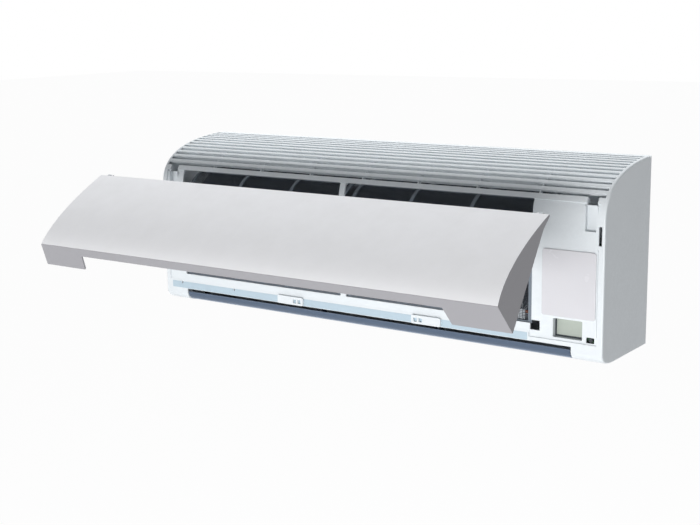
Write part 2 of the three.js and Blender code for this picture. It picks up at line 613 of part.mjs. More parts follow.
function rearChassis() {
  const back = box(-SIDE_INNER, SIDE_INNER, BACK_FRONT, CHASSIS_BACK, 0, CHASSIS_TOP);
  const rims = [
    box(-SIDE_INNER, -SIDE_INNER + CASING_WALL, BACK_FRONT, -WALL_CLEARANCE, 0, CHASSIS_TOP),
    box(SIDE_INNER - CASING_WALL, SIDE_INNER, BACK_FRONT, -WALL_CLEARANCE, 0, CHASSIS_TOP),
    box(-SIDE_INNER, SIDE_INNER, BACK_FRONT, -WALL_CLEARANCE, CHASSIS_TOP - CASING_WALL, CHASSIS_TOP),
    box(-SIDE_INNER, SIDE_INNER, OUTLET_REAR, -WALL_CLEARANCE, 0, CASING_WALL),
  ];
  const scroll = alongX(scrollOutline(), FRAME_LEFT - 1, FRAME_RIGHT + 1);
  const frames = [sideFrame(FRAME_LEFT - FRAME_THICKNESS), sideFrame(FRAME_RIGHT)];
  const floors = [
    sideFloor(-SIDE_INNER, FRAME_LEFT - 1),
    sideFloor(FRAME_RIGHT + 1, SIDE_INNER),
  ];
  const tabs = [
    vaneTab(-VANE_HALF_LENGTH - 5, -VANE_HALF_LENGTH - 2),
    vaneTab(VANE_HALF_LENGTH + 2, VANE_HALF_LENGTH + 5),
    ...VANE_SUPPORTS.map((x) => vaneTab(x - VANE_TAB / 2, x + VANE_TAB / 2)),
  ];
  const posts = [BOX_LEFT + 5, BOX_RIGHT - 8].map((x) =>
    box(x, x + 3, FRAME_BACK + 11.5, BOX_REAR - 2, FLOOR_Z + 1, BOX_BOTTOM - GAP));
  const walls = [back, ...rims, scroll, rearTrough(), ...frames, ...floors];
  const whole = joined([...walls, ...tabs, motorCradle(), ...posts]);
  const pinEnd = DUCT_REAR + SCROLL_WALL + 1;
  const bladePins = Array.from({ length: 2 * BLADES_PER_SIDE }, (_, i) =>
    ductRod(VANE_PIN_RADIUS + GAP, bladeX(i), BLADE_PIVOT, DUCT_REAR - 3, pinEnd));
  const hookHole = box(-16, 16, BACK_FRONT - 1, CHASSIS_BACK + 1, PLATE_TOP - 9, PLATE_TOP + GAP);
  const hooks = [-HOOK_X, HOOK_X].map((x) => hookHole.translate(x, 0, 0));
  return cutBy(whole, [
    rod(VANE_PIN_RADIUS + GAP, -HALF_WIDTH, HALF_WIDTH, VANE_PIVOT_Y, VANE_PIVOT_Z, 12),
    rod(15, FRAME_LEFT - 10, FRAME_LEFT + 5, FAN_Y, FAN_Z, 24),
    rod(14, FRAME_RIGHT - 5, FRAME_RIGHT + 10, FAN_Y, FAN_Z, 24),
    box(FRAME_RIGHT - 1, FRAME_RIGHT + 5, BACK_FRONT - 36, BACK_FRONT - 2, 6, 42),
    box(HALF_WIDTH - 339, HALF_WIDTH - 59, BACK_FRONT - 51, BACK_FRONT - 2, -1, 5),
    rod(SPIGOT_RADIUS + 0.4, -HALF_WIDTH, HALF_WIDTH, SPIGOT_Y, SPIGOT_Z, 16),
    ...bladePins,
    ...hooks,
  ]);
}

addNode('rear_chassis', rearChassis(), PALE_GREY);

// ---------------------------------------------------------------- wall mounting plate
function mountingPlate() {
  const half = PLATE_WIDTH / 2;
  const sheet = box(-half, half, -PLATE_THICKNESS, 0, PLATE_BOTTOM, PLATE_TOP);
  const rimDepth = 3;
  const rims = [
    box(-half, half, -rimDepth, -0.2, PLATE_BOTTOM, PLATE_BOTTOM + PLATE_THICKNESS),
    box(-half, -half + PLATE_THICKNESS, -rimDepth, -0.2, PLATE_BOTTOM, PLATE_TOP),
    box(half - PLATE_THICKNESS, half, -rimDepth, -0.2, PLATE_BOTTOM, PLATE_TOP),
  ];
  const hooks = [-1, 1].flatMap((side) => {
    const x = side * HOOK_X;
    const reach = BACK_FRONT - GAP - PLATE_THICKNESS;
    return [
      box(x - 14, x + 14, reach, -0.2, PLATE_TOP - PLATE_THICKNESS, PLATE_TOP),
      box(x - 14, x + 14, reach, BACK_FRONT - GAP, PLATE_TOP - 0.2, PLATE_TOP + 6),
    ];
  });
  const holeColumns = [45, 105, 165].flatMap((inset) => [inset - half, half - inset]);
  const holes = holeColumns.flatMap((x) => [PLATE_BOTTOM + 30, PLATE_TOP - 30].map((z) => {
    const geometry = new THREE.CylinderGeometry(3, 3, 10, 10);
    geometry.translate(x, 0, z);
    return solidOf(geometry);
  }));
  const windows = [-110, 110].map((x) => box(x - 35, x + 35, -5, 5, PLATE_CENTRE - 35, PLATE_CENTRE + 35));
  return cutBy(joined([sheet, ...rims, ...hooks]), [...holes, ...windows]);
}

addNode('mounting_plate', mountingPlate(), STEEL);

// ---------------------------------------------------------------- coil layout
const COIL_MIDDLE_Y = COIL_FRONT_Y + COIL_THICKNESS / 2;
const FRONT_SLAB = [[COIL_MIDDLE_Y, PAN_FLOOR], [COIL_MIDDLE_Y, COIL_FRONT_TOP]];
const PAN_END = 1.2;
const COIL_INSET = GAP + PAN_END + GAP;
const COIL_LEFT = FRAME_LEFT + COIL_INSET + COIL_PLATE + GAP;
const COIL_RIGHT = FRAME_RIGHT - COIL_INSET - COIL_PLATE - GAP;
const TUBE_PITCH = 19;
const COIL_SLABS = [
  { name: 'front', ends: FRONT_SLAB, firstTube: 36, tubes: 4 },
  { name: 'upper', ends: UPPER_SLAB, firstTube: 10, tubes: 3 },
  { name: 'rear', ends: REAR_SLAB, firstTube: 8, tubes: 2 },
];

// side view of a slab of fins between two points of its centre line
function slabOutline([[y0, z0], [y1, z1]], thickness) {
  const along = new THREE.Vector2(y1 - y0, z1 - z0).normalize();
  const ny = (-along.y * thickness) / 2;
  const nz = (along.x * thickness) / 2;
  return [[y0 - ny, z0 - nz], [y1 - ny, z1 - nz], [y1 + ny, z1 + nz], [y0 + ny, z0 + nz]];
}

// ---------------------------------------------------------------- drain pan and plug
const PAN_LEFT = FRAME_LEFT + GAP;
const PAN_RIGHT = FRAME_RIGHT - GAP;

function drainPan() {
  const front = FILTER_Y + FILTER_FRAME + FILTER_MESH + 2 * GAP;
  const rim = PAN_FLOOR + 11;
  const floor = PAN_FLOOR - GAP;
  const troughRear = COIL_FRONT_Y + COIL_THICKNESS + 2;
  const section = [
    [front, rim],
    [front, 30],
    ductPoint(104, DUCT_FRONT),
    ductPoint(FAN_RADIUS + 5, DUCT_FRONT),
    ductPoint(FAN_RADIUS + 3, DUCT_FRONT - 8),
    [FAN_Y - 38, PAN_FLOOR + 17],
    [FAN_Y - 40.5, PAN_FLOOR + 15],
    [troughRear, floor],
    [COIL_FRONT_Y - 0.8, floor],
    [COIL_FRONT_Y - 0.8, rim],
  ];
  const endSection = [
    [front + 0.5, floor - 1],
    [FAN_Y - 42, floor - 1],
    [FAN_Y - 41, rim],
    [front + 0.5, rim],
  ];
  const solid = joined([
    alongX(section, PAN_LEFT, PAN_RIGHT),
    alongX(endSection, PAN_LEFT, PAN_LEFT + PAN_END),
    alongX(endSection, PAN_RIGHT - PAN_END, PAN_RIGHT),
    rod(SPIGOT_RADIUS, PAN_LEFT - 18, PAN_LEFT + 1, SPIGOT_Y, SPIGOT_Z),
    rod(SPIGOT_RADIUS, PAN_RIGHT - 1, PAN_RIGHT + 11, SPIGOT_Y, SPIGOT_Z),
  ]);
  return cutBy(solid, [
    rod(SPIGOT_BORE, PAN_LEFT - 20, PAN_LEFT + 5, SPIGOT_Y, SPIGOT_Z),
    rod(SPIGOT_BORE, PAN_RIGHT - 5, PAN_RIGHT + 20, SPIGOT_Y, SPIGOT_Z),
  ]);
}

function drainPlug() {
  const head = PAN_RIGHT + 11 + GAP;
  const stem = rod(SPIGOT_BORE - GAP, head - 9, head + 1, SPIGOT_Y, SPIGOT_Z);
  return stem.add(rod(SPIGOT_RADIUS + 1, head, head + 4, SPIGOT_Y, SPIGOT_Z));
}

addNode('drain_pan', drainPan(), PALE_GREY);
addNode('drain_plug', drainPlug(), RUBBER);

// ---------------------------------------------------------------- heat exchanger
function pointOnSlab([[y0, z0], [y1, z1]], distance) {
  const length = Math.hypot(y1 - y0, z1 - z0);
  return [y0 + ((y1 - y0) * distance) / length, z0 + ((z1 - z0) * distance) / length];
}

function endPlate(x0) {
  const slabs = COIL_SLABS.map(({ ends }) => alongX(slabOutline(ends, COIL_THICKNESS), x0, x0 + COIL_PLATE));
  const bridges = [
    [FRONT_SLAB[1], UPPER_SLAB[0]],
    [UPPER_SLAB[1], REAR_SLAB[0]],
  ].map(([from, to]) => {
    const ends = [[from[0], from[1] - 4], [to[0], to[1] + 2]];
    return alongX(slabOutline(ends, 12), x0, x0 + COIL_PLATE);
  });
  return joined([...slabs, ...bridges]);
}

// a round pipe through the given points, with a bend of the given radius at each inner point
function pipe(points, radius, bend, steps, sides) {
  const path = new THREE.CurvePath();
  const corners = points.map((p) => new THREE.Vector3(...p));
  let from = corners[0];
  for (let i = 1; i < corners.length - 1; i += 1) {
    const before = corners[i].clone().sub(corners[i - 1]).normalize();
    const after = corners[i + 1].clone().sub(corners[i]).normalize();
    const start = corners[i].clone().addScaledVector(before, -bend);
    const end = corners[i].clone().addScaledVector(after, bend);
    if (start.distanceTo(from) > 0.01) path.add(new THREE.LineCurve3(from, start));
    path.add(new THREE.QuadraticBezierCurve3(start, corners[i], end));
    from = end;
  }
  path.add(new THREE.LineCurve3(from, corners[corners.length - 1]));
  const circle = shapeOf(arcPoints(0, 0, radius, 0, 360 - 360 / sides, sides - 1));
  return solidOf(new THREE.ExtrudeGeometry(circle, { steps, extrudePath: path, bevelEnabled: false }));
}

// U-bends that join neighbouring tubes of the coil, brazed into an end plate
function returnBends(face, direction, shift) {
  const leg = 4;
  return COIL_SLABS.flatMap(({ ends, firstTube, tubes }) => {
    const pairs = Math.floor((tubes - shift) / 2);
    return Array.from({ length: pairs }, (_, i) => {
      const distance = firstTube + TUBE_PITCH * (2 * i + shift);
      const [y0, z0] = pointOnSlab(ends, distance);
      const [y1, z1] = pointOnSlab(ends, distance + TUBE_PITCH);
      const outer = face + direction * (leg + TUBE_PITCH / 2);
      const route = [[face, y0, z0], [outer, y0, z0], [outer, y1, z1], [face, y1, z1]];
      return pipe(route, PIPE_RADIUS, TUBE_PITCH / 2 - 0.5, 8, 6);
    });
  });
}

function coilEnd(x0, direction, shift) {
  return joined([endPlate(x0), ...returnBends(x0 + COIL_PLATE / 2, direction, shift)]);
}

COIL_SLABS.forEach(({ name, ends }) => {
  addNode(`coil_${name}`, alongX(slabOutline(ends, COIL_THICKNESS), COIL_LEFT, COIL_RIGHT), ALUMINIUM);
});
addNode('coil_end_left', coilEnd(FRAME_LEFT + COIL_INSET, -1, 0), COPPER);
addNode('coil_end_right', coilEnd(FRAME_RIGHT - COIL_INSET - COIL_PLATE, 1, 1), COPPER);

// ---------------------------------------------------------------- refrigerant pipes
const PIPE_DROP_X = FRAME_RIGHT + 9;
const GAS = { radius: 4.8, start: 50, lane: BACK_FRONT - 11, low: 19, end: FRAME_RIGHT - 134, nut: 9 };
const LIQUID = { radius: 3.2, start: 24, lane: BACK_FRONT - 29, low: 34, end: FRAME_RIGHT - 106, nut: 6.5 };

function refrigerantPipe({ radius, start, lane, low, end }) {
  const [y, z] = pointOnSlab(REAR_SLAB, start);
  const route = [
    [FRAME_RIGHT - COIL_INSET + GAP, y, z],
    [PIPE_DROP_X, y, z],
    [PIPE_DROP_X, lane, z - 24],
    [PIPE_DROP_X, lane, low],
    [end, lane, low],
  ];
  return pipe(route, radius, 6, 22, 8);
}

function flareNut({ radius, lane, low, end, nut }) {
  const body = rod(nut, end - 18, end - GAP, lane, low, 6);
  return body.add(rod(radius + 1, end - 24, end - 17, lane, low, 10));
}

function pipeClamp() {
  const left = (GAS.end + FRAME_RIGHT) / 2;
  const front = LIQUID.lane - LIQUID.radius - 3;
  const block = box(left, left + 16, front, BACK_FRONT - GAP, GAS.low - 9, LIQUID.low + 7);
  return cutBy(block, [GAS, LIQUID].map(({ radius, lane, low }) =>
    rod(radius + GAP, left - 1, left + 17, lane, low, 12)));
}

addNode('gas_pipe', refrigerantPipe(GAS), COPPER);
addNode('liquid_pipe', refrigerantPipe(LIQUID), COPPER);
addNode('flare_nut_gas', flareNut(GAS), BRASS);
addNode('flare_nut_liquid', flareNut(LIQUID), BRASS);
addNode('pipe_clamp', pipeClamp(), PALE_GREY);

// ---------------------------------------------------------------- cross-flow fan
const FAN_DISC_THICKNESS = 2;
const FAN_INNER = FAN_RADIUS - FAN_BLADE_DEPTH;
const HUB_RADIUS = 12;
const HUB_LENGTH = 8;

// one forward-curved blade: a thin crescent between the inner and the outer radius
function fanBladeSection(turn) {
  const stations = [[FAN_INNER, 0], [FAN_RADIUS - FAN_BLADE_DEPTH * 0.5, 5], [FAN_RADIUS - 0.5, 14]];
  const at = (radius, degrees) => onCircle(FAN_Y, FAN_Z, radius, turn + degrees);
  const half = 1.3;
  const front = stations.map(([radius, degrees]) => at(radius, degrees - half));
  const rear = stations.map(([radius, degrees]) => at(radius, degrees + half)).reverse();
  return [...front, ...rear];
}

function fanWheel() {
  const length = FAN_RIGHT - FAN_LEFT;
  const blades = Array.from({ length: FAN_BLADES }, (_, i) =>
    alongX(fanBladeSection((360 * i) / FAN_BLADES), FAN_LEFT + 1, FAN_RIGHT - 1));
  const discs = Array.from({ length: FAN_DISCS }, (_, i) => {
    const x = FAN_LEFT + ((length - FAN_DISC_THICKNESS) * i) / (FAN_DISCS - 1);
    const isEnd = i === 0 || i === FAN_DISCS - 1;
    const disc = rod(FAN_RADIUS, x, x + FAN_DISC_THICKNESS, FAN_Y, FAN_Z, FAN_BLADES);
    return isEnd ? disc : disc.subtract(rod(FAN_INNER - 3, x - 1, x + 3, FAN_Y, FAN_Z, FAN_BLADES));
  });
  const hub = rod(HUB_RADIUS, FAN_RIGHT - 20, FAN_RIGHT + HUB_LENGTH, FAN_Y, FAN_Z);
  const shaft = rod(FAN_SHAFT_RADIUS, FRAME_LEFT - 4.4, FAN_LEFT + 1, FAN_Y, FAN_Z);
  const bore = rod(FAN_SHAFT_RADIUS + GAP, FAN_RIGHT - 14, FAN_RIGHT + 20, FAN_Y, FAN_Z);
  return joined([...discs, hub, shaft, ...blades]).subtract(bore);
}

addNode('fan_wheel', fanWheel(), DARK_GREY);

// ---------------------------------------------------------------- fan bearing and motor
function bearingHolder() {
  const outside = FRAME_LEFT - FRAME_THICKNESS - GAP;
  const body = rod(15 - GAP, outside - 1, FRAME_LEFT + 4, FAN_Y, FAN_Z, 24);
  const flange = rod(19, outside - 4, outside, FAN_Y, FAN_Z, 24);
  return body.add(flange).subtract(rod(9.3, outside - 2, FRAME_LEFT + 5, FAN_Y, FAN_Z, 20));
}

function fanMotor() {
  const right = MOTOR_LEFT + MOTOR_LENGTH;
  return joined([
    rod(MOTOR_RADIUS, MOTOR_LEFT + 6, right - 6, FAN_Y, FAN_Z, 32),
    rod(MOTOR_RADIUS - 6, MOTOR_LEFT, right, FAN_Y, FAN_Z, 24),
    rod(12, MOTOR_LEFT - 4, right + 4, FAN_Y, FAN_Z, 16),
    rod(FAN_SHAFT_RADIUS, FAN_RIGHT - 12, MOTOR_LEFT, FAN_Y, FAN_Z),
  ]);
}

function motorClamp() {
  const inner = arcPoints(FAN_Y, FAN_Z, MOTOR_RADIUS + GAP, 0, 180, 16);
  const outer = arcPoints(FAN_Y, FAN_Z, MOTOR_RADIUS + 2, 0, 180, 16).reverse();
  const right = MOTOR_LEFT + MOTOR_LENGTH;
  const band = alongX([...inner, ...outer], MOTOR_LEFT + 8, right - 8);
  return band.subtract(box(MOTOR_LEFT, right, -CASING_DEPTH, 0, FAN_Z - 1, FAN_Z + GAP));
}

function fanBearing() {
  const left = FRAME_LEFT - FRAME_THICKNESS - GAP - 1.7;
  return ringOf(9, FAN_SHAFT_RADIUS + GAP, left, FRAME_LEFT + 3, FAN_Y, FAN_Z);
}

addNode('bearing_holder', bearingHolder(), PALE_GREY);
addNode('fan_bearing', fanBearing(), RUBBER);
addNode('fan_motor', fanMotor(), DARK_GREY);
addNode('motor_clamp', motorClamp(), STEEL);

// ---------------------------------------------------------------- outlet vane
function vaneEar(x0, x1) {
  const hub = arcPoints(VANE_PIVOT_Y, VANE_PIVOT_Z, VANE_PIN_RADIUS + 2.4, 0, 180, 6);
  return alongX([...hub, [VANE_PIVOT_Y - 12, 1.2], [VANE_REAR - 2, 1.2]], x0, x1);
}

function vanePin(x0, x1, clearance = 0) {
  return rod(VANE_PIN_RADIUS + clearance, x0, x1, VANE_PIVOT_Y, VANE_PIVOT_Z, 12);
}

// the stretch of the vane's skin between two shares of the underside's curve, with its edges beyond
function vaneSkin(from, to, before, after) {
  const outside = curvePoints(belly, from, to, VANE_INSET, 7);
  const inside = curvePoints(belly, from, to, VANE_INSET + VANE_THICKNESS, 7).reverse();
  return alongX([...before, ...outside, ...after, ...inside], -VANE_HALF_LENGTH, VANE_HALF_LENGTH);
}

function vaneFrontStrip() {
  const front = FRONT_Y + VANE_INSET;
  const lower = VANE_SEAM - (GAP / 2) / belly.getLength();
  return vaneSkin(0, lower, [[front + VANE_THICKNESS, VANE_TOP], [front, VANE_TOP]], []);
}

function outletVane() {
  const upper = VANE_SEAM + (GAP / 2) / belly.getLength();
  const rear = [
    [VANE_REAR, VANE_INSET],
    [VANE_REAR, VANE_INSET + VANE_THICKNESS],
  ];
  const notches = VANE_SUPPORTS.map((x) =>
    box(x - VANE_TAB / 2 - GAP, x + VANE_TAB / 2 + GAP, VANE_PIVOT_Y - 4, VANE_REAR + 1, -1, 5));
  const skin = cutBy(vaneSkin(upper, 1, [], rear), notches);
  const supports = VANE_SUPPORTS.flatMap((x) => [
    vaneEar(x - 5, x - 2.5),
    vaneEar(x + 2.5, x + 5),
    vanePin(x - 3, x + 3),
  ]);
  const leftEnd = vaneEar(-VANE_HALF_LENGTH, -VANE_HALF_LENGTH + 2.5);
  const leftPin = vanePin(-VANE_HALF_LENGTH - 5, -VANE_HALF_LENGTH + 1);
  const socket = vanePin(VANE_HALF_LENGTH - 3, VANE_HALF_LENGTH + 1, GAP);
  const rightEnd = vaneEar(VANE_HALF_LENGTH - 2.5, VANE_HALF_LENGTH).subtract(socket);
  return joined([skin, leftEnd, leftPin, rightEnd, ...supports]);
}

function vaneMotor() {
  const face = VANE_HALF_LENGTH + 5 + GAP;
  const body = rod(12, face, face + 16, VANE_PIVOT_Y - 3, VANE_PIVOT_Z + 4, 24);
  return body.add(vanePin(VANE_HALF_LENGTH - 2, face + 1));
}

addNode('air_vane', outletVane(), SLATE);
addNode('vane_front_strip', vaneFrontStrip(), SLATE);
addNode('vane_motor', vaneMotor(), STEEL);

// ---------------------------------------------------------------- deflector blades and their link bars
const LINK_N = (DUCT_FRONT + DUCT_REAR) / 2;

function deflectorBlade(x) {
  const low = DUCT_FRONT + 3;
  const high = DUCT_REAR - 5;
  const notch = LINK_SIDE / 2 + GAP;
  const corner = 5;
  const outline = [
    [BLADE_START, low],
    [BLADE_END - corner, low],
    [BLADE_END, low + corner],
    [BLADE_END, high - corner],
    [BLADE_END - corner, high],
    [BLADE_START, high],
    [BLADE_START, LINK_N + notch],
    [BLADE_LINK + 2.6, LINK_N + notch],
    [BLADE_LINK + 2.6, LINK_N - notch],
    [BLADE_START, LINK_N - notch],
  ].map(([s, n]) => ductPoint(s, n));
  const plate = alongX(outline.reverse(), x - BLADE_THICKNESS / 2, x + BLADE_THICKNESS / 2);
  return plate.add(ductRod(VANE_PIN_RADIUS, x, BLADE_PIVOT, high - 4, DUCT_REAR + SCROLL_WALL - 1));
}

function linkBar(firstX, lastX) {
  const half = LINK_SIDE / 2;
  const section = [[-half, -half], [half, -half], [half, half], [-half, half]]
    .map(([s, n]) => ductPoint(BLADE_LINK + s, LINK_N + n));
  return alongX(section, firstX - 8, lastX + 8);
}

['left', 'right'].forEach((side, group) => {
  const first = group * BLADES_PER_SIDE;
  for (let i = 0; i < BLADES_PER_SIDE; i += 1) {
    addNode(`deflector_${side}_${i + 1}`, deflectorBlade(bladeX(first + i)), DARK_GREY);
  }
  addNode(`deflector_link_${side}`, linkBar(bladeX(first), bladeX(first + BLADES_PER_SIDE - 1)), DARK_GREY);
});

// ---------------------------------------------------------------- air filters
// the filter's line in side view: from the rear, over the coil and down to the front's lower edge
const filterLine = new THREE.CurvePath();
const filterCrown = new THREE.Vector2(FILTER_Y + 64, FILTER_TOP);
const filterBend = new THREE.Vector2(FILTER_Y, FILTER_BEND);
const filterCorner = new THREE.Vector2(FILTER_Y, FILTER_TOP);
filterLine.add(new THREE.LineCurve(new THREE.Vector2(FILTER_REAR, FILTER_TOP), filterCrown));
filterLine.add(new THREE.QuadraticBezierCurve(filterCrown, filterCorner, filterBend));
filterLine.add(new THREE.LineCurve(filterBend, new THREE.Vector2(FILTER_Y, OPENING_BOTTOM + GAP)));
const FILTER_LENGTH = filterLine.getLength();

function filterStrip(fromDistance, toDistance, outer, inner, steps) {
  const from = fromDistance / FILTER_LENGTH;
  const to = toDistance / FILTER_LENGTH;
  const outside = curvePoints(filterLine, from, to, outer, steps);
  const inside = curvePoints(filterLine, from, to, inner, steps).reverse();
  return [...outside, ...inside];
}

function filterFrame(left, right) {
  const length = FILTER_LENGTH - 0.02;
  const wide = FILTER_BAR + 1;
  const stiles = Array.from({ length: FILTER_CELLS + 1 }, (_, i) => {
    const isEnd = i === 0 || i === FILTER_CELLS;
    const width = isEnd ? wide : FILTER_BAR - 1;
    const x = left + ((right - left - width) * i) / FILTER_CELLS;
    return alongX(filterStrip(0.01, length, 0, FILTER_FRAME, 10), x, x + width);
  });
  const rails = [0.01, length * 0.25, length * 0.5, length * 0.75, length - wide].map((at, i) => {
    const width = i === 0 || i === 4 ? wide : FILTER_BAR - 2;
    return alongX(filterStrip(at, at + width, 0, FILTER_FRAME, 1), left, right);
  });
  const middle = (left + right) / 2;
  const low = OPENING_BOTTOM + 3;
  const tab = box(middle - 20, middle + 20, FILTER_Y - 3.3, FILTER_Y + 0.5, low, low + 3);
  return joined([...stiles, ...rails, tab]);
}

function filterMesh(left, right) {
  const depth = FILTER_FRAME + GAP;
  const section = filterStrip(2, FILTER_LENGTH - 2, depth, depth + FILTER_MESH, 10);
  return alongX(section, left + 2, right - 2);
}

const FILTER_SPANS = {
  left: [OPENING_LEFT + FILTER_CLEARANCE, MULLION_X - MULLION_WIDTH / 2 - FILTER_CLEARANCE],
  right: [MULLION_X + MULLION_WIDTH / 2 + FILTER_CLEARANCE, OPENING_RIGHT - FILTER_CLEARANCE],
};
Object.entries(FILTER_SPANS).forEach(([side, [left, right]]) => {
  addNode(`filter_frame_${side}`, filterFrame(left, right), FILTER_GREY);
  addNode(`filter_mesh_${side}`, filterMesh(left, right), BLACK_MESH);
});

// ---------------------------------------------------------------- control area
function roundedRectangle(x0, x1, z0, z1, radius) {
  return [
    ...arcPoints(x1 - radius, z1 - radius, radius, 0, 90, 4),
    ...arcPoints(x0 + radius, z1 - radius, radius, 90, 180, 4),
    ...arcPoints(x0 + radius, z0 + radius, radius, 180, 270, 4),
    ...arcPoints(x1 - radius, z0 + radius, radius, 270, 360, 4),
  ];
}

function terminalCover() {
  const back = FRAME_FRONT - GAP;
  const outline = roundedRectangle(COVER_LEFT, COVER_RIGHT, COVER_BOTTOM, COVER_TOP, 4);
  const plate = alongY(outline, back - COVER_THICKNESS, back);
  const [x0, x1] = [COVER_LEFT + COVER_LAP + GAP, COVER_RIGHT - COVER_LAP - GAP];
  const [z0, z1] = [COVER_BOTTOM + COVER_LAP_ENDS + GAP, COVER_TOP - COVER_LAP_ENDS - GAP];
  const lip = box(x0, x1, back - 1, FRAME_BACK + 2, z0, z1);
  return plate.add(lip.subtract(box(x0 + 2, x1 - 2, back - 0.5, FRAME_BACK + 3, z0 + 2, z1 - 2)));
}

function controlBox() {
  const front = FRAME_BACK + 3.5;
  const tray = box(BOX_LEFT, BOX_RIGHT, front, BOX_REAR, BOX_BOTTOM, BOX_TOP);
  const room = box(BOX_LEFT + 2, BOX_RIGHT - 2, front - 1, BOX_REAR - 2, BOX_BOTTOM + 2, BOX_TOP - 2);
  return tray.subtract(room);
}

function controlBoard() {
  const back = BOX_REAR - 2 - GAP;
  const board = box(BOX_LEFT + 5, BOX_RIGHT - 5, back - 1.6, back, BOX_BOTTOM + 26, BOX_TOP - 5);
  const parts = [
    box(BOX_LEFT + 12, BOX_LEFT + 34, back - 16, back - 1, BOX_TOP - 30, BOX_TOP - 12),
    box(BOX_LEFT + 44, BOX_LEFT + 58, back - 13, back - 1, BOX_TOP - 34, BOX_TOP - 12),
    box(BOX_RIGHT - 30, BOX_RIGHT - 12, back - 14, back - 1, BOX_TOP - 40, BOX_TOP - 14),
    box(BOX_LEFT + 14, BOX_LEFT + 46, back - 5, back - 1, BOX_BOTTOM + 36, BOX_BOTTOM + 48),
  ];
  return joined([board, ...parts]);
}

function terminalBlock() {
  const back = BOX_REAR - 2 - GAP;
  const left = BOX_LEFT + 18;
  const body = box(left, left + 62, back - 12, back, BOX_BOTTOM + 4, BOX_BOTTOM + 20);
  const bays = Array.from({ length: 5 }, (_, i) =>
    box(left + 2 + i * 12, left + 12 + i * 12, back - 13, back - 6, BOX_BOTTOM + 3, BOX_BOTTOM + 14));
  return cutBy(body, bays);
}

const WINDOW_Y = FRAME_FRONT + WINDOW_SETBACK;
const BOARD_Y = WINDOW_Y + 1.4 + GAP;
const SWITCH_Y = BOARD_Y - 4.8;

function displayWindow() {
  const low = WINDOW_BOTTOM - 1.5;
  return box(WINDOW_LEFT - 1.5, WINDOW_RIGHT + 1, WINDOW_Y, WINDOW_Y + 1.4, low, WINDOW_TOP + 0.5);
}

function displayBoard() {
  const board = box(WINDOW_LEFT - 2, BUTTON_X + 9, BOARD_Y, BOARD_Y + 1.4, WINDOW_BOTTOM - 2, WINDOW_TOP + 1);
  const guide = stub(BUTTON_RADIUS + 1.6, BUTTON_X, BUTTON_Z, SWITCH_Y, BOARD_Y + 0.4);
  return board.add(guide).subtract(stub(BUTTON_RADIUS + GAP, BUTTON_X, BUTTON_Z, SWITCH_Y - 1, BOARD_Y));
}

function manualButton() {
  return stub(BUTTON_RADIUS, BUTTON_X, BUTTON_Z, FRAME_BACK - 1, BOARD_Y - GAP - BUTTON_TRAVEL);
}

addNode('terminal_cover', terminalCover(), PANEL_WHITE);
addNode('control_box', controlBox(), DARK_GREY);
addNode('control_board', controlBoard(), BOARD_GREEN);
addNode('terminal_block', terminalBlock(), DARK_GREY);
addNode('display_window', displayWindow(), WINDOW_TINT);
addNode('display_board', displayBoard(), BOARD_GREEN);
addNode('manual_button', manualButton(), DARK_GREY);

// ---------------------------------------------------------------- sensors
function roomSensor() {
  const back = FRAME_BACK + GAP;
  return box(OPENING_RIGHT + 8, OPENING_RIGHT + 20, back, back + 5, OPENING_TOP - 41, OPENING_TOP - 31);
}

function coilSensor() {
  const face = FRAME_RIGHT + FRAME_THICKNESS + GAP;
  return rod(2.6, face, face + 14, COIL_FRONT_Y + 1.3, PAN_FLOOR + 8, 10);
}

addNode('room_sensor', roomSensor(), WHITE);
addNode('coil_sensor', coilSensor(), COPPER);

// ---------------------------------------------------------------- screws and their caps
function casingScrew(x) {
  const head = stub(3.6, x, SCREW_Z, FRONT_Y - GAP - 2, FRONT_Y - GAP);
  return head.add(stub(SCREW_RADIUS, x, SCREW_Z, FRONT_Y - GAP - 1, FILTER_Y + FILTER_FRAME + 0.6));
}

function screwCap(x, slotSide) {
  const back = FRONT_Y - GAP;
  const halfWidth = CAP_WIDTH / 2;
  const halfHeight = CAP_HEIGHT / 2;
  const outline = roundedRectangle(
    x - halfWidth, x + halfWidth, SCREW_Z - halfHeight, SCREW_Z + halfHeight, 2.5);
  const slots = [9, 18].map((offset) => {
    const middle = x + slotSide * offset;
    return box(middle - 3, middle + 3, back - CAP_DEPTH - 1, back + 1, SCREW_Z - 3.5, SCREW_Z + 2.5);
  });
  const pocket = stub(4.2, x, SCREW_Z, back - 2.4, back + 1);
  return cutBy(alongY(outline, back - CAP_DEPTH, back), [...slots, pocket]);
}

addNode('casing_screw_left', casingScrew(SCREW_X[0]), STEEL);
addNode('casing_screw_right', casingScrew(SCREW_X[1]), STEEL);
addNode('screw_cap_left', screwCap(SCREW_X[0], 1), WHITE);
addNode('screw_cap_right', screwCap(SCREW_X[1], -1), WHITE);

// ---------------------------------------------------------------- front panel
// drawn in its closed place on the casing, then moved to the hinge axis and swung open
const faceTop = new THREE.Vector2(...PANEL_TOP);
const faceNose = new THREE.Vector2(...PANEL_NOSE);
const heel = new THREE.Vector2(...PANEL_HEEL);
const faceChord = faceNose.clone().sub(faceTop);
const faceOut = new THREE.Vector2(faceChord.y, -faceChord.x).normalize();

function faceHandle(share, bulge) {
  return faceTop.clone().addScaledVector(faceChord, share).addScaledVector(faceOut, bulge);
}

const face = new THREE.CubicBezierCurve(
  faceTop,
  faceHandle(0.33, PANEL_BULGE_TOP),
  faceHandle(0.75, PANEL_BULGE_LOW),
  faceNose,
);
const lipAlong = heel.clone().sub(faceNose).normalize();
const lipUp = new THREE.Vector2(-lipAlong.y, lipAlong.x);

function onLip(along, up) {
  return faceNose.clone().addScaledVector(lipAlong, along).addScaledVector(lipUp, up);
}

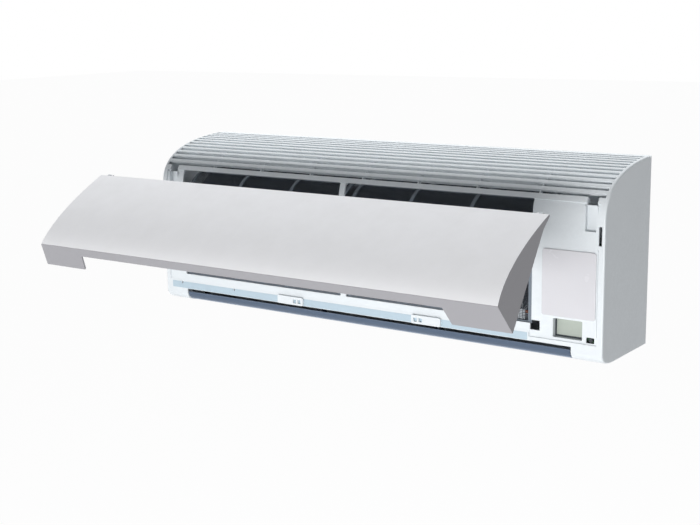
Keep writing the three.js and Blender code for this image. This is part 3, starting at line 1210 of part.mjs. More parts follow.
// everything beyond the slanted end of the panel, moved in by inset
function endCutter(side, inset) {
  const top = new THREE.Vector3((side * PANEL_WIDTH) / 2, faceTop.x, faceTop.y);
  const nose = new THREE.Vector3((side * PANEL_WIDTH) / 2, faceNose.x, faceNose.y);
  const low = new THREE.Vector3((side * CASING_WIDTH) / 2, heel.x, heel.y);
  const normal = nose.clone().sub(top).cross(low.clone().sub(top)).normalize();
  if (normal.x * side < 0) normal.negate();
  const geometry = new THREE.BoxGeometry(CASING_WIDTH / 4, CASING_WIDTH, CASING_WIDTH);
  geometry.applyQuaternion(new THREE.Quaternion().setFromUnitVectors(X_AXIS, normal));
  const centre = top.addScaledVector(normal, CASING_WIDTH / 8 - inset);
  geometry.translate(centre.x, centre.y, centre.z);
  return solidOf(geometry);
}

function panelShell() {
  const reach = CASING_WIDTH / 2 + 5;
  const outside = curvePoints(face, 0, 1, 0, 14);
  const inside = curvePoints(face, 0, 1, PANEL_WALL, 14);
  const topRear = inside[0];
  const rearEdge = [FRONT_Y - 2 * GAP, CASING_HEIGHT - CROWN_DROP + 3];
  const lipInnerStart = onLip(PANEL_WALL * 1.2, PANEL_WALL);
  const body = alongX([...outside, heel, rearEdge, topRear], -reach, reach);
  const hollowSection = [
    ...inside.slice(0, -1),
    lipInnerStart,
    onLip(60, PANEL_WALL),
    [FRONT_Y + 35, faceTop.y + 10],
    [topRear.x + 1, topRear.y + 1],
  ];
  const hollow = alongX(hollowSection, -reach, reach);
  const outer = cutBy(body, [endCutter(-1, 0), endCutter(1, 0)]);
  const inner = cutBy(hollow, [endCutter(-1, PANEL_WALL), endCutter(1, PANEL_WALL)]);
  return outer.subtract(inner);
}

// the middle of the lip, cut away between the two end tabs
function lipCutter() {
  const lipWidth = heel.distanceTo(faceNose);
  const outline = [
    [-LIP_TAB_INNER, LIP_STRIP],
    [-LIP_TAB_INNER - LIP_TAB_DRAFT, lipWidth + 4],
    [LIP_TAB_INNER + LIP_TAB_DRAFT, lipWidth + 4],
    [LIP_TAB_INNER, LIP_STRIP],
  ];
  const depth = PANEL_WALL + 7;
  const geometry = new THREE.ExtrudeGeometry(shapeOf(outline), { depth, bevelEnabled: false });
  const along = new THREE.Vector3(0, lipAlong.x, lipAlong.y);
  const up = new THREE.Vector3(0, lipUp.x, lipUp.y);
  geometry.applyMatrix4(new THREE.Matrix4().makeBasis(X_AXIS, along, up));
  const start = onLip(0, -3);
  geometry.translate(0, start.x, start.y);
  return solidOf(geometry);
}

function hingeArm(side) {
  const x = side * (HINGE_X - 6);
  const eye = arcPoints(HINGE_Y, HINGE_Z, ARM_EYE_RADIUS, 100, -80, 8).reverse();
  const root = [
    [face.getPointAt(0.02).x + 1, face.getPointAt(0.02).y],
    [face.getPointAt(0.11).x + 1, face.getPointAt(0.11).y],
  ];
  const plate = alongX([...eye, ...root], x - ARM_THICKNESS / 2, x + ARM_THICKNESS / 2);
  const pinEnd = x + side * (ARM_THICKNESS / 2 + BUSH_LENGTH + 2 * GAP + 1);
  return plate.add(rod(PIN_RADIUS, Math.min(x, pinEnd), Math.max(x, pinEnd), HINGE_Y, HINGE_Z, 12));
}

function panelRibs() {
  const section = [
    ...curvePoints(face, 0.08, 0.93, PANEL_WALL - 0.5, 8),
    ...curvePoints(face, 0.08, 0.93, PANEL_WALL + 4, 8).reverse(),
  ];
  return [-2, -1, 0, 1, 2].map((place) => place * RIB_PITCH)
    .map((x) => alongX(section, x - PANEL_RIB / 2, x + PANEL_RIB / 2));
}

function hingeBush(side) {
  const near = side * (HINGE_X - 6 + ARM_THICKNESS / 2 + GAP);
  const far = near + side * BUSH_LENGTH;
  const [left, right] = [Math.min(near, far), Math.max(near, far)];
  return ringOf(BUSH_RADIUS, PIN_RADIUS + GAP, left, right, HINGE_Y, HINGE_Z, 16);
}

const pulledPanel = new THREE.Group();
pulledPanel.position.set(0, -PANEL_PULLED, 0);
unit.add(pulledPanel);
const swungPanel = new THREE.Group();
swungPanel.position.set(0, HINGE_Y, HINGE_Z);
swungPanel.rotation.x = -THREE.MathUtils.degToRad(PANEL_OPEN_DEGREES);
pulledPanel.add(swungPanel);

const panelShellCut = panelShell().subtract(lipCutter());
const panelSolid = joined([panelShellCut, hingeArm(-1), hingeArm(1), ...panelRibs()]);
addNode('front_panel', panelSolid, PANEL_WHITE, swungPanel).geometry.translate(0, -HINGE_Y, -HINGE_Z);
addNode('hinge_bush_left', hingeBush(-1), PALE_GREY, pulledPanel);
addNode('hinge_bush_right', hingeBush(1), PALE_GREY, pulledPanel);

// ---------------------------------------------------------------- origin at the mounting plate
unit.position.set(0, 0, -PLATE_CENTRE);
export default unit;
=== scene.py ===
# Indoor unit of a split air conditioner: a white moulded casing on a steel wall plate, with its
# front panel lifted off and swung open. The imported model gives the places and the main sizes, and
# this script dresses it. Lengths are written in millimetres, and at() turns them into metres.
import math
from collections import namedtuple
from contextlib import contextmanager

import bmesh
import bpy
from mathutils import Matrix, Vector


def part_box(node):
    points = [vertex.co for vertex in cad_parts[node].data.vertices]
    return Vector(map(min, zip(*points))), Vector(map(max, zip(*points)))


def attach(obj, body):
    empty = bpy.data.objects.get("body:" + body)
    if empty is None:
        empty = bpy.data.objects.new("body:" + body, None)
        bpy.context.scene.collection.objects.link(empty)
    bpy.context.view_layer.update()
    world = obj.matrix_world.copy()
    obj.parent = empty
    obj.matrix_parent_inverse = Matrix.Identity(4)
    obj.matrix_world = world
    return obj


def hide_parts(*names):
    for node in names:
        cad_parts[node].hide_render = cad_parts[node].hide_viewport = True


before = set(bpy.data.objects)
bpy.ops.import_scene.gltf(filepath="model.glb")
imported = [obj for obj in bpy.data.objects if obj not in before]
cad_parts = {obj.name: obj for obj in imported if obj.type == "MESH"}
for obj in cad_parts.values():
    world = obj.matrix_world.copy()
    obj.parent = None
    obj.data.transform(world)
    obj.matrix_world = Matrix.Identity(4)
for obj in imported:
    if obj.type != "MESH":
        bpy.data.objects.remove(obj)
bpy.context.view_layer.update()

# ------------------------------------------------------------------ camera, lamps and floor
# A plain studio set: the camera stands in front of the unit and to its right. A low, wide lamp near
# the camera is the main light, a weak one fills from the left, and one behind lights the grille.
MM = 0.001
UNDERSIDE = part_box("front_casing")[0].z
SENSOR_WIDTH = 36.0
FOCAL_SHARE = 1248.0 / 700.0       # focal length over picture width
CAMERA_PLACE = 1059.4, -1680.7, 483.2
CAMERA_YAW, CAMERA_PITCH, CAMERA_ROLL = 0.61388, 0.20050, -0.01571
LAMP_TARGET = Vector((0.0, -0.15, 0.0))
WARM_LIGHT, COOL_LIGHT = (1.0, 0.995, 0.99), (0.97, 0.985, 1.0)
LAMPS = (                          # name, place, size, watts, colour, mirrored in gloss
    ("main_lamp", (1.05, -3.0, -0.5), (1.3, 0.7), 67.0, WARM_LIGHT, True),
    ("fill_lamp", (-1.9, -2.9, 0.2), (1.6, 1.0), 24.0, COOL_LIGHT, True),
    ("grille_lamp", (-0.45, 1.7, 2.0), (1.3, 0.9), 112.0, COOL_LIGHT, False))
AMBIENT_COLOUR, AMBIENT_STRENGTH = (0.94, 0.965, 1.0, 1.0), 0.21
WHITE = (1.0, 1.0, 1.0, 1.0)
FLOOR_BELOW = 1.5                  # metres from the casing's underside down to the floor
FLOOR_HALF_SIDE = 30.0             # metres
FLOOR_COLOUR = (0.80, 0.81, 0.82, 1.0)
FLOOR_WHITENESS = 0.97             # what the camera sees: this much white, the rest lit floor


def at(x, y, z):
    """The place x, y from the middle of the wall plate and z above the casing's underside."""
    return Vector((x * MM, y * MM, UNDERSIDE + z * MM))


def new_object(name, data):
    thing = bpy.data.objects.new(name, data)
    bpy.context.collection.objects.link(thing)
    return thing


def aim_camera(place, yaw, pitch, roll):
    level = math.cos(pitch)
    ahead = Vector((-math.sin(yaw) * level, math.cos(yaw) * level, -math.sin(pitch)))
    right = Vector((math.cos(yaw), math.sin(yaw), 0.0))
    up = right.cross(ahead)
    turned_right = right * math.cos(roll) + up * math.sin(roll)
    turned_up = up * math.cos(roll) - right * math.sin(roll)
    data = bpy.data.cameras.new("camera")
    data.sensor_width = SENSOR_WIDTH
    data.lens = SENSOR_WIDTH * FOCAL_SHARE
    data.clip_start = 0.05
    camera = new_object("camera", data)
    turn = Matrix((turned_right, turned_up, -ahead)).transposed().to_4x4()
    camera.matrix_world = Matrix.Translation(place) @ turn
    bpy.context.scene.camera = camera


def soft_lamp(name, place, size, power, colour, in_gloss):
    data = bpy.data.lights.new(name, "AREA")
    data.shape = "RECTANGLE"
    data.size, data.size_y = size
    data.energy, data.color = power, colour
    lamp = new_object(name, data)
    lamp.location = place
    lamp.rotation_euler = (LAMP_TARGET - Vector(place)).to_track_quat("-Z", "Y").to_euler()
    lamp.visible_glossy = in_gloss


def add(tree, kind, settings=None, inputs=None):
    """Adds a node. An input is named or numbered, and gets a value or another node's socket."""
    node = tree.nodes.new(kind)
    for name, value in (settings or {}).items():
        setattr(node, name, value)
    for name, value in (inputs or {}).items():
        if isinstance(value, bpy.types.NodeSocket):
            tree.links.new(value, node.inputs[name])
        else:
            node.inputs[name].default_value = value
    return node


def calc(tree, operation, a, b, clamp=False):
    settings = {"operation": operation, "use_clamp": clamp}
    return add(tree, "ShaderNodeMath", settings, {0: a, 1: b}).outputs[0]


def blank_material(name):
    material = bpy.data.materials.new(name)
    material.use_nodes = True
    return material, material.node_tree, material.node_tree.nodes["Principled BSDF"]


def backdrop(tree, lit, seen):
    """Mixes what lights the scene with what the camera, gloss and glass see behind the object."""
    path = add(tree, "ShaderNodeLightPath").outputs
    seen_or_gloss = calc(tree, "MAXIMUM", path["Is Camera Ray"], path["Is Glossy Ray"])
    any_view = calc(tree, "MAXIMUM", seen_or_gloss, path["Is Transmission Ray"])
    return add(tree, "ShaderNodeMixShader", None, {0: any_view, 1: lit, 2: seen}).outputs[0]


def studio_world():
    world = bpy.data.worlds.new("studio")
    world.use_nodes = True
    tree = world.node_tree
    tree.nodes.clear()
    lit, seen = (
        add(tree, "ShaderNodeBackground", None, {"Color": colour, "Strength": strength}).outputs[0]
        for colour, strength in ((AMBIENT_COLOUR, AMBIENT_STRENGTH), (WHITE, 1.0)))
    add(tree, "ShaderNodeOutputWorld", None, {"Surface": backdrop(tree, lit, seen)})
    bpy.context.scene.world = world


def studio_floor():
    """A pale floor that the camera sees as nearly white, with the unit's faint shadow on it."""
    mesh = bpy.data.meshes.new("floor")
    corners = [(x * FLOOR_HALF_SIDE, y * FLOOR_HALF_SIDE, UNDERSIDE - FLOOR_BELOW)
               for x, y in ((-1, -1), (1, -1), (1, 1), (-1, 1))]
    mesh.from_pydata(corners, [], [(0, 1, 2, 3)])
    material, tree, shader = blank_material("pale_floor")
    for name, value in (("Base Color", FLOOR_COLOUR), ("Roughness", 0.9),
                        ("Specular IOR Level", 0.1)):
        shader.inputs[name].default_value = value
    lit = shader.outputs[0]
    white = add(tree, "ShaderNodeEmission").outputs[0]
    nearly_white = add(tree, "ShaderNodeMixShader", None, {0: FLOOR_WHITENESS, 1: lit, 2: white})
    surface = tree.nodes["Material Output"].inputs["Surface"]
    tree.links.new(backdrop(tree, lit, nearly_white.outputs[0]), surface)
    mesh.materials.append(material)
    new_object("floor", mesh)


aim_camera(at(*CAMERA_PLACE), CAMERA_YAW, CAMERA_PITCH, CAMERA_ROLL)
for lamp_values in LAMPS:
    soft_lamp(*lamp_values)
studio_world()
studio_floor()
bpy.context.scene.view_settings.view_transform = "Standard"

# ------------------------------------------------------------------ front casing
# One injection moulding of white ABS: a thin shell with a rounded crown and underside, a flat frame
# with the openings behind the panel, and a raised strip over the air outlet. It hooks over the
# chassis at the top and two screws hold it at the bottom.


Corner = namedtuple("Corner", "x y z")


def box_of(node):
    """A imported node's box in millimetres, with z above the casing's underside."""
    corners = [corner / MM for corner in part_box(node)]
    return [Corner(corner.x, corner.y, corner.z - UNDERSIDE / MM) for corner in corners]


CASING_LOW, CASING_HIGH = box_of("front_casing")
HALF_WIDTH = CASING_HIGH.x
FRONT_Y, REAR_Y = CASING_LOW.y, CASING_HIGH.y
CASING_HEIGHT = CASING_HIGH.z - CASING_LOW.z
CASING_WALL = 2.5
CORNER_ROUND = 2.4                 # rounding along the casing's two side edges
CROWN = [(REAR_Y, CASING_HEIGHT), (-75, CASING_HEIGHT - 2), (FRONT_Y, CASING_HEIGHT - 17),
         (FRONT_Y, CASING_HEIGHT - 72)]
BELLY = [(FRONT_Y, 18), (FRONT_Y, 0), (FRONT_Y + 45, 0)]
FRAME_RECESS = 2.0                 # how far the frame lies behind the casing's front
FRAME_HALF = HALF_WIDTH - 9.0
GRILLE_HALF = HALF_WIDTH - 5.0
GRILLE_START = 13.0                # from the wall edge of the crown to the first slot
SLAT_DEPTH = 7.0
OPENING_BOTTOM, OPENING_TOP = 49.0, CASING_HEIGHT - 49.0
BAR_TOP = OPENING_TOP + 7.0
STRIP_BOTTOM, STRIP_TOP = 24.0, 41.0
STRIP_THICKNESS = 5.5
STRIP_CHAMFER = (3.0, 4.8)         # depth and height
LOW_STRIP_HEIGHT = 6.0
PAST_WALL = 10.0                   # how far cutters reach past the back of the unit
OUTLET_HALF, OUTLET_DEPTH = 352.5, 62.5
FLOOR_FRONT = 55.5                 # from the casing's front to its open underside
CHANNEL_MIDDLE, CHANNEL_WIDTH = HALF_WIDTH - 22.0, 16.0
CHANNEL_BOTTOM = OPENING_TOP - 39.0
CHANNEL_DEPTH, CHANNEL_WALL = 7.0, 2.0
HINGE_Y, HINGE_Z = FRONT_Y + 8.0, OPENING_TOP + 4.0
FILTERS = {side: box_of(f"filter_frame_{side}") for side in ("left", "right")}
OPENING_CLEAR = 1.0
OPENINGS = [(low.x - OPENING_CLEAR, high.x + OPENING_CLEAR) for low, high in FILTERS.values()]
CONTROL_LEFT = OPENINGS[1][1]
COVER_LOW, COVER_HIGH = box_of("terminal_cover")
COVER_OPENING = (COVER_LOW.x + 4, COVER_HIGH.x - 4, 72, 150)
WINDOW = (HALF_WIDTH - 75.0, HALF_WIDTH - 31.0, 34.0, 61.0)
WELL_WALL, WELL_DEPTH = 1.5, 10.7
BUTTON_X, BUTTON_Z = HALF_WIDTH - 19.0, 36.0
BUTTON_HOLE = (BUTTON_X - 6, BUTTON_X + 6, BUTTON_Z - 4, BUTTON_Z + 4)
SCREWS_X = [268.0 - HALF_WIDTH, HALF_WIDTH - 278.0]
SCREW_Z, SCREW_HOLE = 31.0, 2.3
LATCHES_X, LATCH_Z, LATCH_HOLE = [-HALF_WIDTH + 36, -HALF_WIDTH + 150], STRIP_TOP - 7, 1.7
GROOVE_WIDTH, GROOVE_DEPTH = 1.1, 1.3
CATCH_OPENING = (CONTROL_LEFT - 2, CONTROL_LEFT + 13, STRIP_TOP - 1, OPENING_BOTTOM + 5)
SIDE_SLOT = (FRAME_HALF - 1, HALF_WIDTH - CASING_WALL - 2, CHANNEL_BOTTOM - 18, CHANNEL_BOTTOM + 8)
CASING_EDGE = 0.45                 # rounding of the moulding's small edges
FLAT_ANGLE = math.radians(0.6)     # faces that lean less than this to each other are one flat


class Line:
    """A smooth line in side view (y from the wall, z up), measured by the distance along it."""

    def __init__(self, *handle_sets, samples=240):
        self.points = [Vector(handle_sets[0][0])]
        for handles in handle_sets:
            for step in range(1, samples + 1):
                points = [Vector(handle) for handle in handles]
                while len(points) > 1:
                    points = [a.lerp(b, step / samples) for a, b in zip(points, points[1:])]
                self.points.append(points[0])
        self.marks = [0.0]
        for a, b in zip(self.points, self.points[1:]):
            self.marks.append(self.marks[-1] + (b - a).length)
        self.length = self.marks[-1]

    def at(self, distance, depth=0.0):
        """The point at a distance along the line, moved in by depth."""
        distance = min(max(distance, 0.0), self.length)
        last = len(self.marks) - 2
        i = min(next((k for k in range(last) if self.marks[k + 1] >= distance), last), last)
        step = self.points[i + 1] - self.points[i]
        point = self.points[i] + step * ((distance - self.marks[i]) / step.length)
        step.normalize()
        return (point.x - step.y * depth, point.y + step.x * depth)

    def run(self, start, end, depth, steps):
        return [self.at(start + (end - start) * i / steps, depth) for i in range(steps + 1)]

    def distance_at_height(self, height):
        return next(mark for mark, point in zip(self.marks, self.points) if point.y <= height)

    def band(self, start, end, outer, inner, steps):
        """The closed outline between two depths, from one distance to another."""
        return self.run(start, end, outer, steps) + self.run(start, end, inner, steps)[::-1]


crown = Line(CROWN)
belly = Line(BELLY)


@contextmanager
def editing(thing):
    """Lends a thing's mesh as a bmesh, and puts it back when the edit is done."""
    solid = bmesh.new()
    solid.from_mesh(thing.data)
    yield solid
    solid.to_mesh(thing.data)
    solid.free()


def mesh_object(name, solid):
    """Turns a bmesh into an object, with its faces pointing out."""
    bmesh.ops.remove_doubles(solid, verts=solid.verts, dist=1e-6)
    bmesh.ops.recalc_face_normals(solid, faces=solid.faces)
    mesh = bpy.data.meshes.new(name)
    solid.to_mesh(mesh)
    solid.free()
    return new_object(name, mesh)


def prism(name, first, second):
    """The solid between two outlines that have as many points."""
    solid = bmesh.new()
    ends = [[solid.verts.new(point) for point in outline] for outline in (first, second)]
    for end in ends:
        solid.faces.new(end)
    for i in range(len(first)):
        solid.faces.new((ends[0][i - 1], ends[0][i], ends[1][i], ends[1][i - 1]))
    return mesh_object(name, solid)


def bar_along_x(outline, x0, x1, name="bar"):
    """A solid whose side view is the outline (y, z), from x0 to x1."""
    return prism(name, *([at(x, y, z) for y, z in outline] for x in (x0, x1)))


def bar_along_y(outline, y0, y1, name="bar"):
    """A solid whose front view is the outline (x, z), from y0 back to y1."""
    return prism(name, *([at(x, y, z) for x, z in outline] for y in (y0, y1)))


def block(x0, x1, y0, y1, z0, z1):
    return bar_along_x([(y0, z0), (y1, z0), (y1, z1), (y0, z1)], x0, x1)


def rounded(x0, x1, z0, z1, radius, steps=6):
    """A rectangle with round corners, as points of a front view."""
    corners = [(x1 - radius, z1 - radius, 0), (x0 + radius, z1 - radius, 90),
               (x0 + radius, z0 + radius, 180), (x1 - radius, z0 + radius, 270)]
    points = []
    for x, z, start in corners:
        for i in range(steps + 1):
            angle = math.radians(start + 90 * i / steps)
            points.append((x + radius * math.cos(angle), z + radius * math.sin(angle)))
    return points


def circle(radius, a, b, sides):
    turn = 2 * math.pi / sides
    return [(a + radius * math.cos(turn * i), b + radius * math.sin(turn * i))
            for i in range(sides)]


def rod_along_y(radius, x, z, y0, y1, sides=28):
    return bar_along_y(circle(radius, x, z, sides), y0, y1)


def rod_along_x(radius, x0, x1, y, z, sides=28):
    return bar_along_x(circle(radius, y, z, sides), x0, x1)


def keep_as_mesh(thing):
    """Makes the modifiers' result the object's own mesh."""
    depsgraph = bpy.context.evaluated_depsgraph_get()
    evaluated = thing.evaluated_get(depsgraph)
    mesh = bpy.data.meshes.new_from_object(evaluated, depsgraph=depsgraph)
    thing.modifiers.clear()
    thing.data = mesh
    return thing


def combine(operation, thing, others):
    for other in others:
        step = thing.modifiers.new("combine", "BOOLEAN")
        step.operation = operation
        step.solver = "MANIFOLD"
        step.object = other
        keep_as_mesh(thing)
        bpy.data.objects.remove(other, do_unlink=True)
    return thing


def cut(thing, *others):
    """Cuts other solids out of a solid, one after another."""
    return combine("DIFFERENCE", thing, others)


def join(thing, *others):
    """Joins other solids to a solid, one after another."""
    return combine("UNION", thing, others)


def soften(thing, width, segments=2, angle=40.0):
    """Merges flat faces, rounds the sharp edges and shades the surface so that flats stay flat."""
    with editing(thing) as solid:
        bmesh.ops.remove_doubles(solid, verts=solid.verts, dist=2e-6)
        bmesh.ops.dissolve_limit(solid, angle_limit=FLAT_ANGLE, verts=solid.verts,
                                 edges=solid.edges)
    if width:
        edges = thing.modifiers.new("edges", "BEVEL")
        edges.width = width * MM
        edges.segments = segments
        edges.limit_method = "ANGLE"
        edges.angle_limit = math.radians(angle)
        edges.use_clamp_overlap = True
        keep_as_mesh(thing)
    thing.data.shade_smooth()
    thing.data.set_sharp_from_angle(angle=math.radians(angle))
    normals = thing.modifiers.new("normals", "WEIGHTED_NORMAL")
    normals.keep_sharp = True
    return keep_as_mesh(thing)


def casing_outline(inset, rear_y):
    top = crown.run(0, crown.length, inset, 44)
    bottom = belly.run(0, belly.length, inset, 14)
    return [(rear_y, top[0][1])] + top[1:] + bottom + [(rear_y, inset)]


def rounded_ends(thing, radius):
    """Rounds the edges of the two flat ends of the casing, apart from those at the wall."""
    with editing(thing) as solid:
        ends = [face for face in solid.faces if abs(face.normal.x) > 0.99]
        edges = [edge for end in ends for edge in end.edges
                 if max(vert.co.y for vert in edge.verts) < (REAR_Y - 0.5) * MM]
        bmesh.ops.bevel(solid, geom=edges, offset=radius * MM, segments=4, profile=0.5,
                        affect="EDGES")


def casing_shell(inset, half_width):
    """The casing's wall, set in from its outer form, and open towards the wall."""
    outside = bar_along_x(casing_outline(inset, REAR_Y), -half_width, half_width)
    if inset == 0:
        rounded_ends(outside, CORNER_ROUND)
    inner_half = HALF_WIDTH - CASING_WALL
    inside = bar_along_x(casing_outline(inset + CASING_WALL, PAST_WALL), -inner_half, inner_half)
    return cut(outside, inside)


def front_casing():
    front, reach = FRONT_Y - 1, FRONT_Y + 20
    slots_end = crown.distance_at_height(OPENING_TOP)
    bar_start = crown.distance_at_height(BAR_TOP)
    inner_half = HALF_WIDTH - CASING_WALL
    shell = cut(
        casing_shell(0, HALF_WIDTH),
        bar_along_x(crown.band(GRILLE_START, slots_end, -2, 6, 44), -GRILLE_HALF, GRILLE_HALF),
        block(-FRAME_HALF, FRAME_HALF, front, reach, STRIP_BOTTOM, OPENING_TOP + 1),
        block(-OUTLET_HALF, OUTLET_HALF, front, FRONT_Y + OUTLET_DEPTH, -1, STRIP_BOTTOM + 1),
        block(-inner_half, inner_half, FRONT_Y + FLOOR_FRONT, 1, -1, 6))
    frame_reach = FRAME_HALF + 2.5
    frame_band = combine("INTERSECT", casing_shell(FRAME_RECESS, HALF_WIDTH - 1), [
        block(-frame_reach, frame_reach, front, reach, STRIP_BOTTOM, OPENING_TOP + 2)])
    back = FRONT_Y + STRIP_THICKNESS
    strip = [(FRONT_Y, STRIP_BOTTOM), (back, STRIP_BOTTOM), (back, STRIP_TOP),
             (FRONT_Y + STRIP_CHAMFER[0], STRIP_TOP), (FRONT_Y, STRIP_TOP - STRIP_CHAMFER[1])]
    low_top = STRIP_BOTTOM + LOW_STRIP_HEIGHT
    low_strip = [(FRONT_Y, STRIP_BOTTOM), (back, STRIP_BOTTOM), (back, low_top), (FRONT_Y, low_top)]
    bar = crown.band(bar_start, slots_end, 0, SLAT_DEPTH, 4)
    join(shell, frame_band, bar_along_x(bar, -GRILLE_HALF - 1, GRILLE_HALF + 1),
         bar_along_x(strip, -inner_half - 0.5, CONTROL_LEFT - 3),
         bar_along_x(low_strip, -inner_half - 0.5, inner_half + 0.5))
    cut(shell, *(bar_along_y(outline, front, reach) for outline in (
        *(rounded(x0, x1, OPENING_BOTTOM, OPENING_TOP, 1.5) for x0, x1 in OPENINGS),
        rounded(*COVER_OPENING, 3), rounded(*WINDOW, 1.2))))
    cut(shell, block(*CATCH_OPENING[:2], front, reach, *CATCH_OPENING[2:]),
        bar_along_y(rounded(*BUTTON_HOLE, 1), front, reach),
        block(*SIDE_SLOT[:2], front, reach, *SIDE_SLOT[2:]))
    channels = [(middle - CHANNEL_WIDTH / 2, middle + CHANNEL_WIDTH / 2)
                for middle in (-CHANNEL_MIDDLE, CHANNEL_MIDDLE)]
    cut(shell, *(block(left, right, front, HINGE_Y + 9, CHANNEL_BOTTOM, HINGE_Z + 7)
                 for left, right in channels))
    cut(shell, *(rod_along_y(SCREW_HOLE, x, SCREW_Z, front, reach) for x in SCREWS_X))
    cut(shell, *(rod_along_y(LATCH_HOLE, x, LATCH_Z, front, reach) for x in LATCHES_X))
    groove = FRAME_HALF - 0.4
    cut(shell, block(groove - GROOVE_WIDTH, groove, front, FRONT_Y + FRAME_RECESS + GROOVE_DEPTH,
                     STRIP_TOP, CHANNEL_BOTTOM - 24))
    rear = FRONT_Y + FRAME_RECESS + CHANNEL_DEPTH
    for left, right in channels:
        channel = block(left - CHANNEL_WALL, right + CHANNEL_WALL, FRONT_Y + 2.5,
                        rear + CHANNEL_WALL, CHANNEL_BOTTOM - CHANNEL_WALL, HINGE_Z - 8)
        join(shell, cut(channel, block(left, right, front, rear, CHANNEL_BOTTOM, HINGE_Z - 7)))
    left, right, low, high = WINDOW
    well = block(left - WELL_WALL, right + WELL_WALL, FRONT_Y + 2.5, FRONT_Y + WELL_DEPTH,
                 low - WELL_WALL, high + WELL_WALL)
    return join(shell, cut(well, block(left, right, front, FRONT_Y + 12, low, high)))


casing = front_casing()
casing.name = "casing_moulding"
soften(casing, CASING_EDGE)


def remapped(tree, value, low, high, to_low=0.0, to_high=1.0):
    return add(tree, "ShaderNodeMapRange", None, {
        "Value": value, "From Min": low, "From Max": high, "To Min": to_low,
        "To Max": to_high}).outputs[0]


def noise(tree, where, scale, detail=3.0, roughness=0.5):
    return add(tree, "ShaderNodeTexNoise", None, {
        "Vector": where, "Scale": scale, "Detail": detail, "Roughness": roughness}).outputs["Fac"]


def mixed_colour(tree, share, first, second):
    node = add(tree, "ShaderNodeMix", {"data_type": "RGBA"}, {0: share, 6: first, 7: second})
    return node.outputs[2]


def object_place(tree):
    return add(tree, "ShaderNodeTexCoord").outputs["Object"]


def parts_of(tree, vector):
    """The X, Y and Z of a vector."""
    return add(tree, "ShaderNodeSeparateXYZ", None, {0: vector}).outputs


def shade(code):
    """A colour code as the linear colour that a shader takes."""
    parts = [int(code[i:i + 2], 16) / 255 for i in (1, 3, 5)]
    linear = [part / 12.92 if part <= 0.04045 else ((part + 0.055) / 1.055) ** 2.4
              for part in parts]
    return (*linear, 1.0)


def tinted(colour, factor, lift=0.0):
    return tuple(min(1.0, part * factor + lift) for part in colour[:3]) + (1.0,)


def effect_group(name, inputs, outputs):
    """An empty effect: its node group, its given values and the node that takes its results."""
    group = bpy.data.node_groups.new(name, "ShaderNodeTree")
    for label, value in inputs.items():
        socket = group.interface.new_socket(label, in_out="INPUT", socket_type="NodeSocketFloat")
        socket.default_value = value
    for label, kind in outputs.items():
        group.interface.new_socket(label, in_out="OUTPUT", socket_type=kind)
    return group, add(group, "NodeGroupInput").outputs, add(group, "NodeGroupOutput").inputs


def effect(tree, group, values):
    """Places an effect in a material, with its own values."""
    return add(tree, "ShaderNodeGroup", {"node_tree": group}, values).outputs


def masked(tree, first, second, amount):
    """The product of two masks and an amount, held between 0 and 1."""
    return calc(tree, "MULTIPLY", calc(tree, "MULTIPLY", first, second), amount, True)


def moulded_grain_group():
    """The fine texture of a mould's skin, and the slow waviness of a wide moulded wall."""
    group, given, result = effect_group(
        "moulded_grain", {"Scale": 1500.0, "Depth": 0.3, "Waviness": 0.1},
        {"Normal": "NodeSocketVector", "Mottle": "NodeSocketFloat"})
    where = object_place(group)
    waves = add(group, "ShaderNodeBump", None, {
        "Strength": given["Waviness"], "Distance": 0.002, "Height": noise(group, where, 9.0, 1.0)})
    grain = add(group, "ShaderNodeBump", None, {
        "Strength": given["Depth"], "Distance": 0.00003,
        "Height": noise(group, where, given["Scale"], 2.0), "Normal": waves.outputs[0]})
    cloud = remapped(group, noise(group, where, 26.0, 4.0, 0.6), 0.15, 0.85)
    group.links.new(grain.outputs[0], result["Normal"])
    group.links.new(cloud, result["Mottle"])
    return group


def settled_dust_group():
    """Dust lies on faces that look up, in soft patches."""
    group, given, result = effect_group(
        "settled_dust", {"Amount": 0.3, "Patch Scale": 30.0}, {"Mask": "NodeSocketFloat"})
    normal = add(group, "ShaderNodeNewGeometry").outputs["Normal"]
    up = remapped(group, parts_of(group, normal)["Z"], 0.25, 1.0)
    cloud = noise(group, object_place(group), given["Patch Scale"], 5.0, 0.65)
    patches = remapped(group, cloud, 0.35, 0.7, 0.35, 1.0)
    group.links.new(masked(group, up, patches, given["Amount"]), result["Mask"])
    return group


def edge_wear_group():
    """Edges that hands and cloths rub: a mask along sharp outer edges, broken up by noise."""
    group, given, result = effect_group("edge_wear", {"Amount": 0.3}, {"Mask": "NodeSocketFloat"})
    sharp = add(group, "ShaderNodeNewGeometry").outputs["Pointiness"]
    broken = remapped(group, noise(group, object_place(group), 160.0, 4.0, 0.7), 0.4, 0.65)
    mask = masked(group, remapped(group, sharp, 0.53, 0.62), broken, given["Amount"])
    group.links.new(mask, result["Mask"])
    return group


moulded_grain = moulded_grain_group()
settled_dust = settled_dust_group()
edge_wear = edge_wear_group()
DARKER, DULLED_BY_DUST = 0.86, 0.45


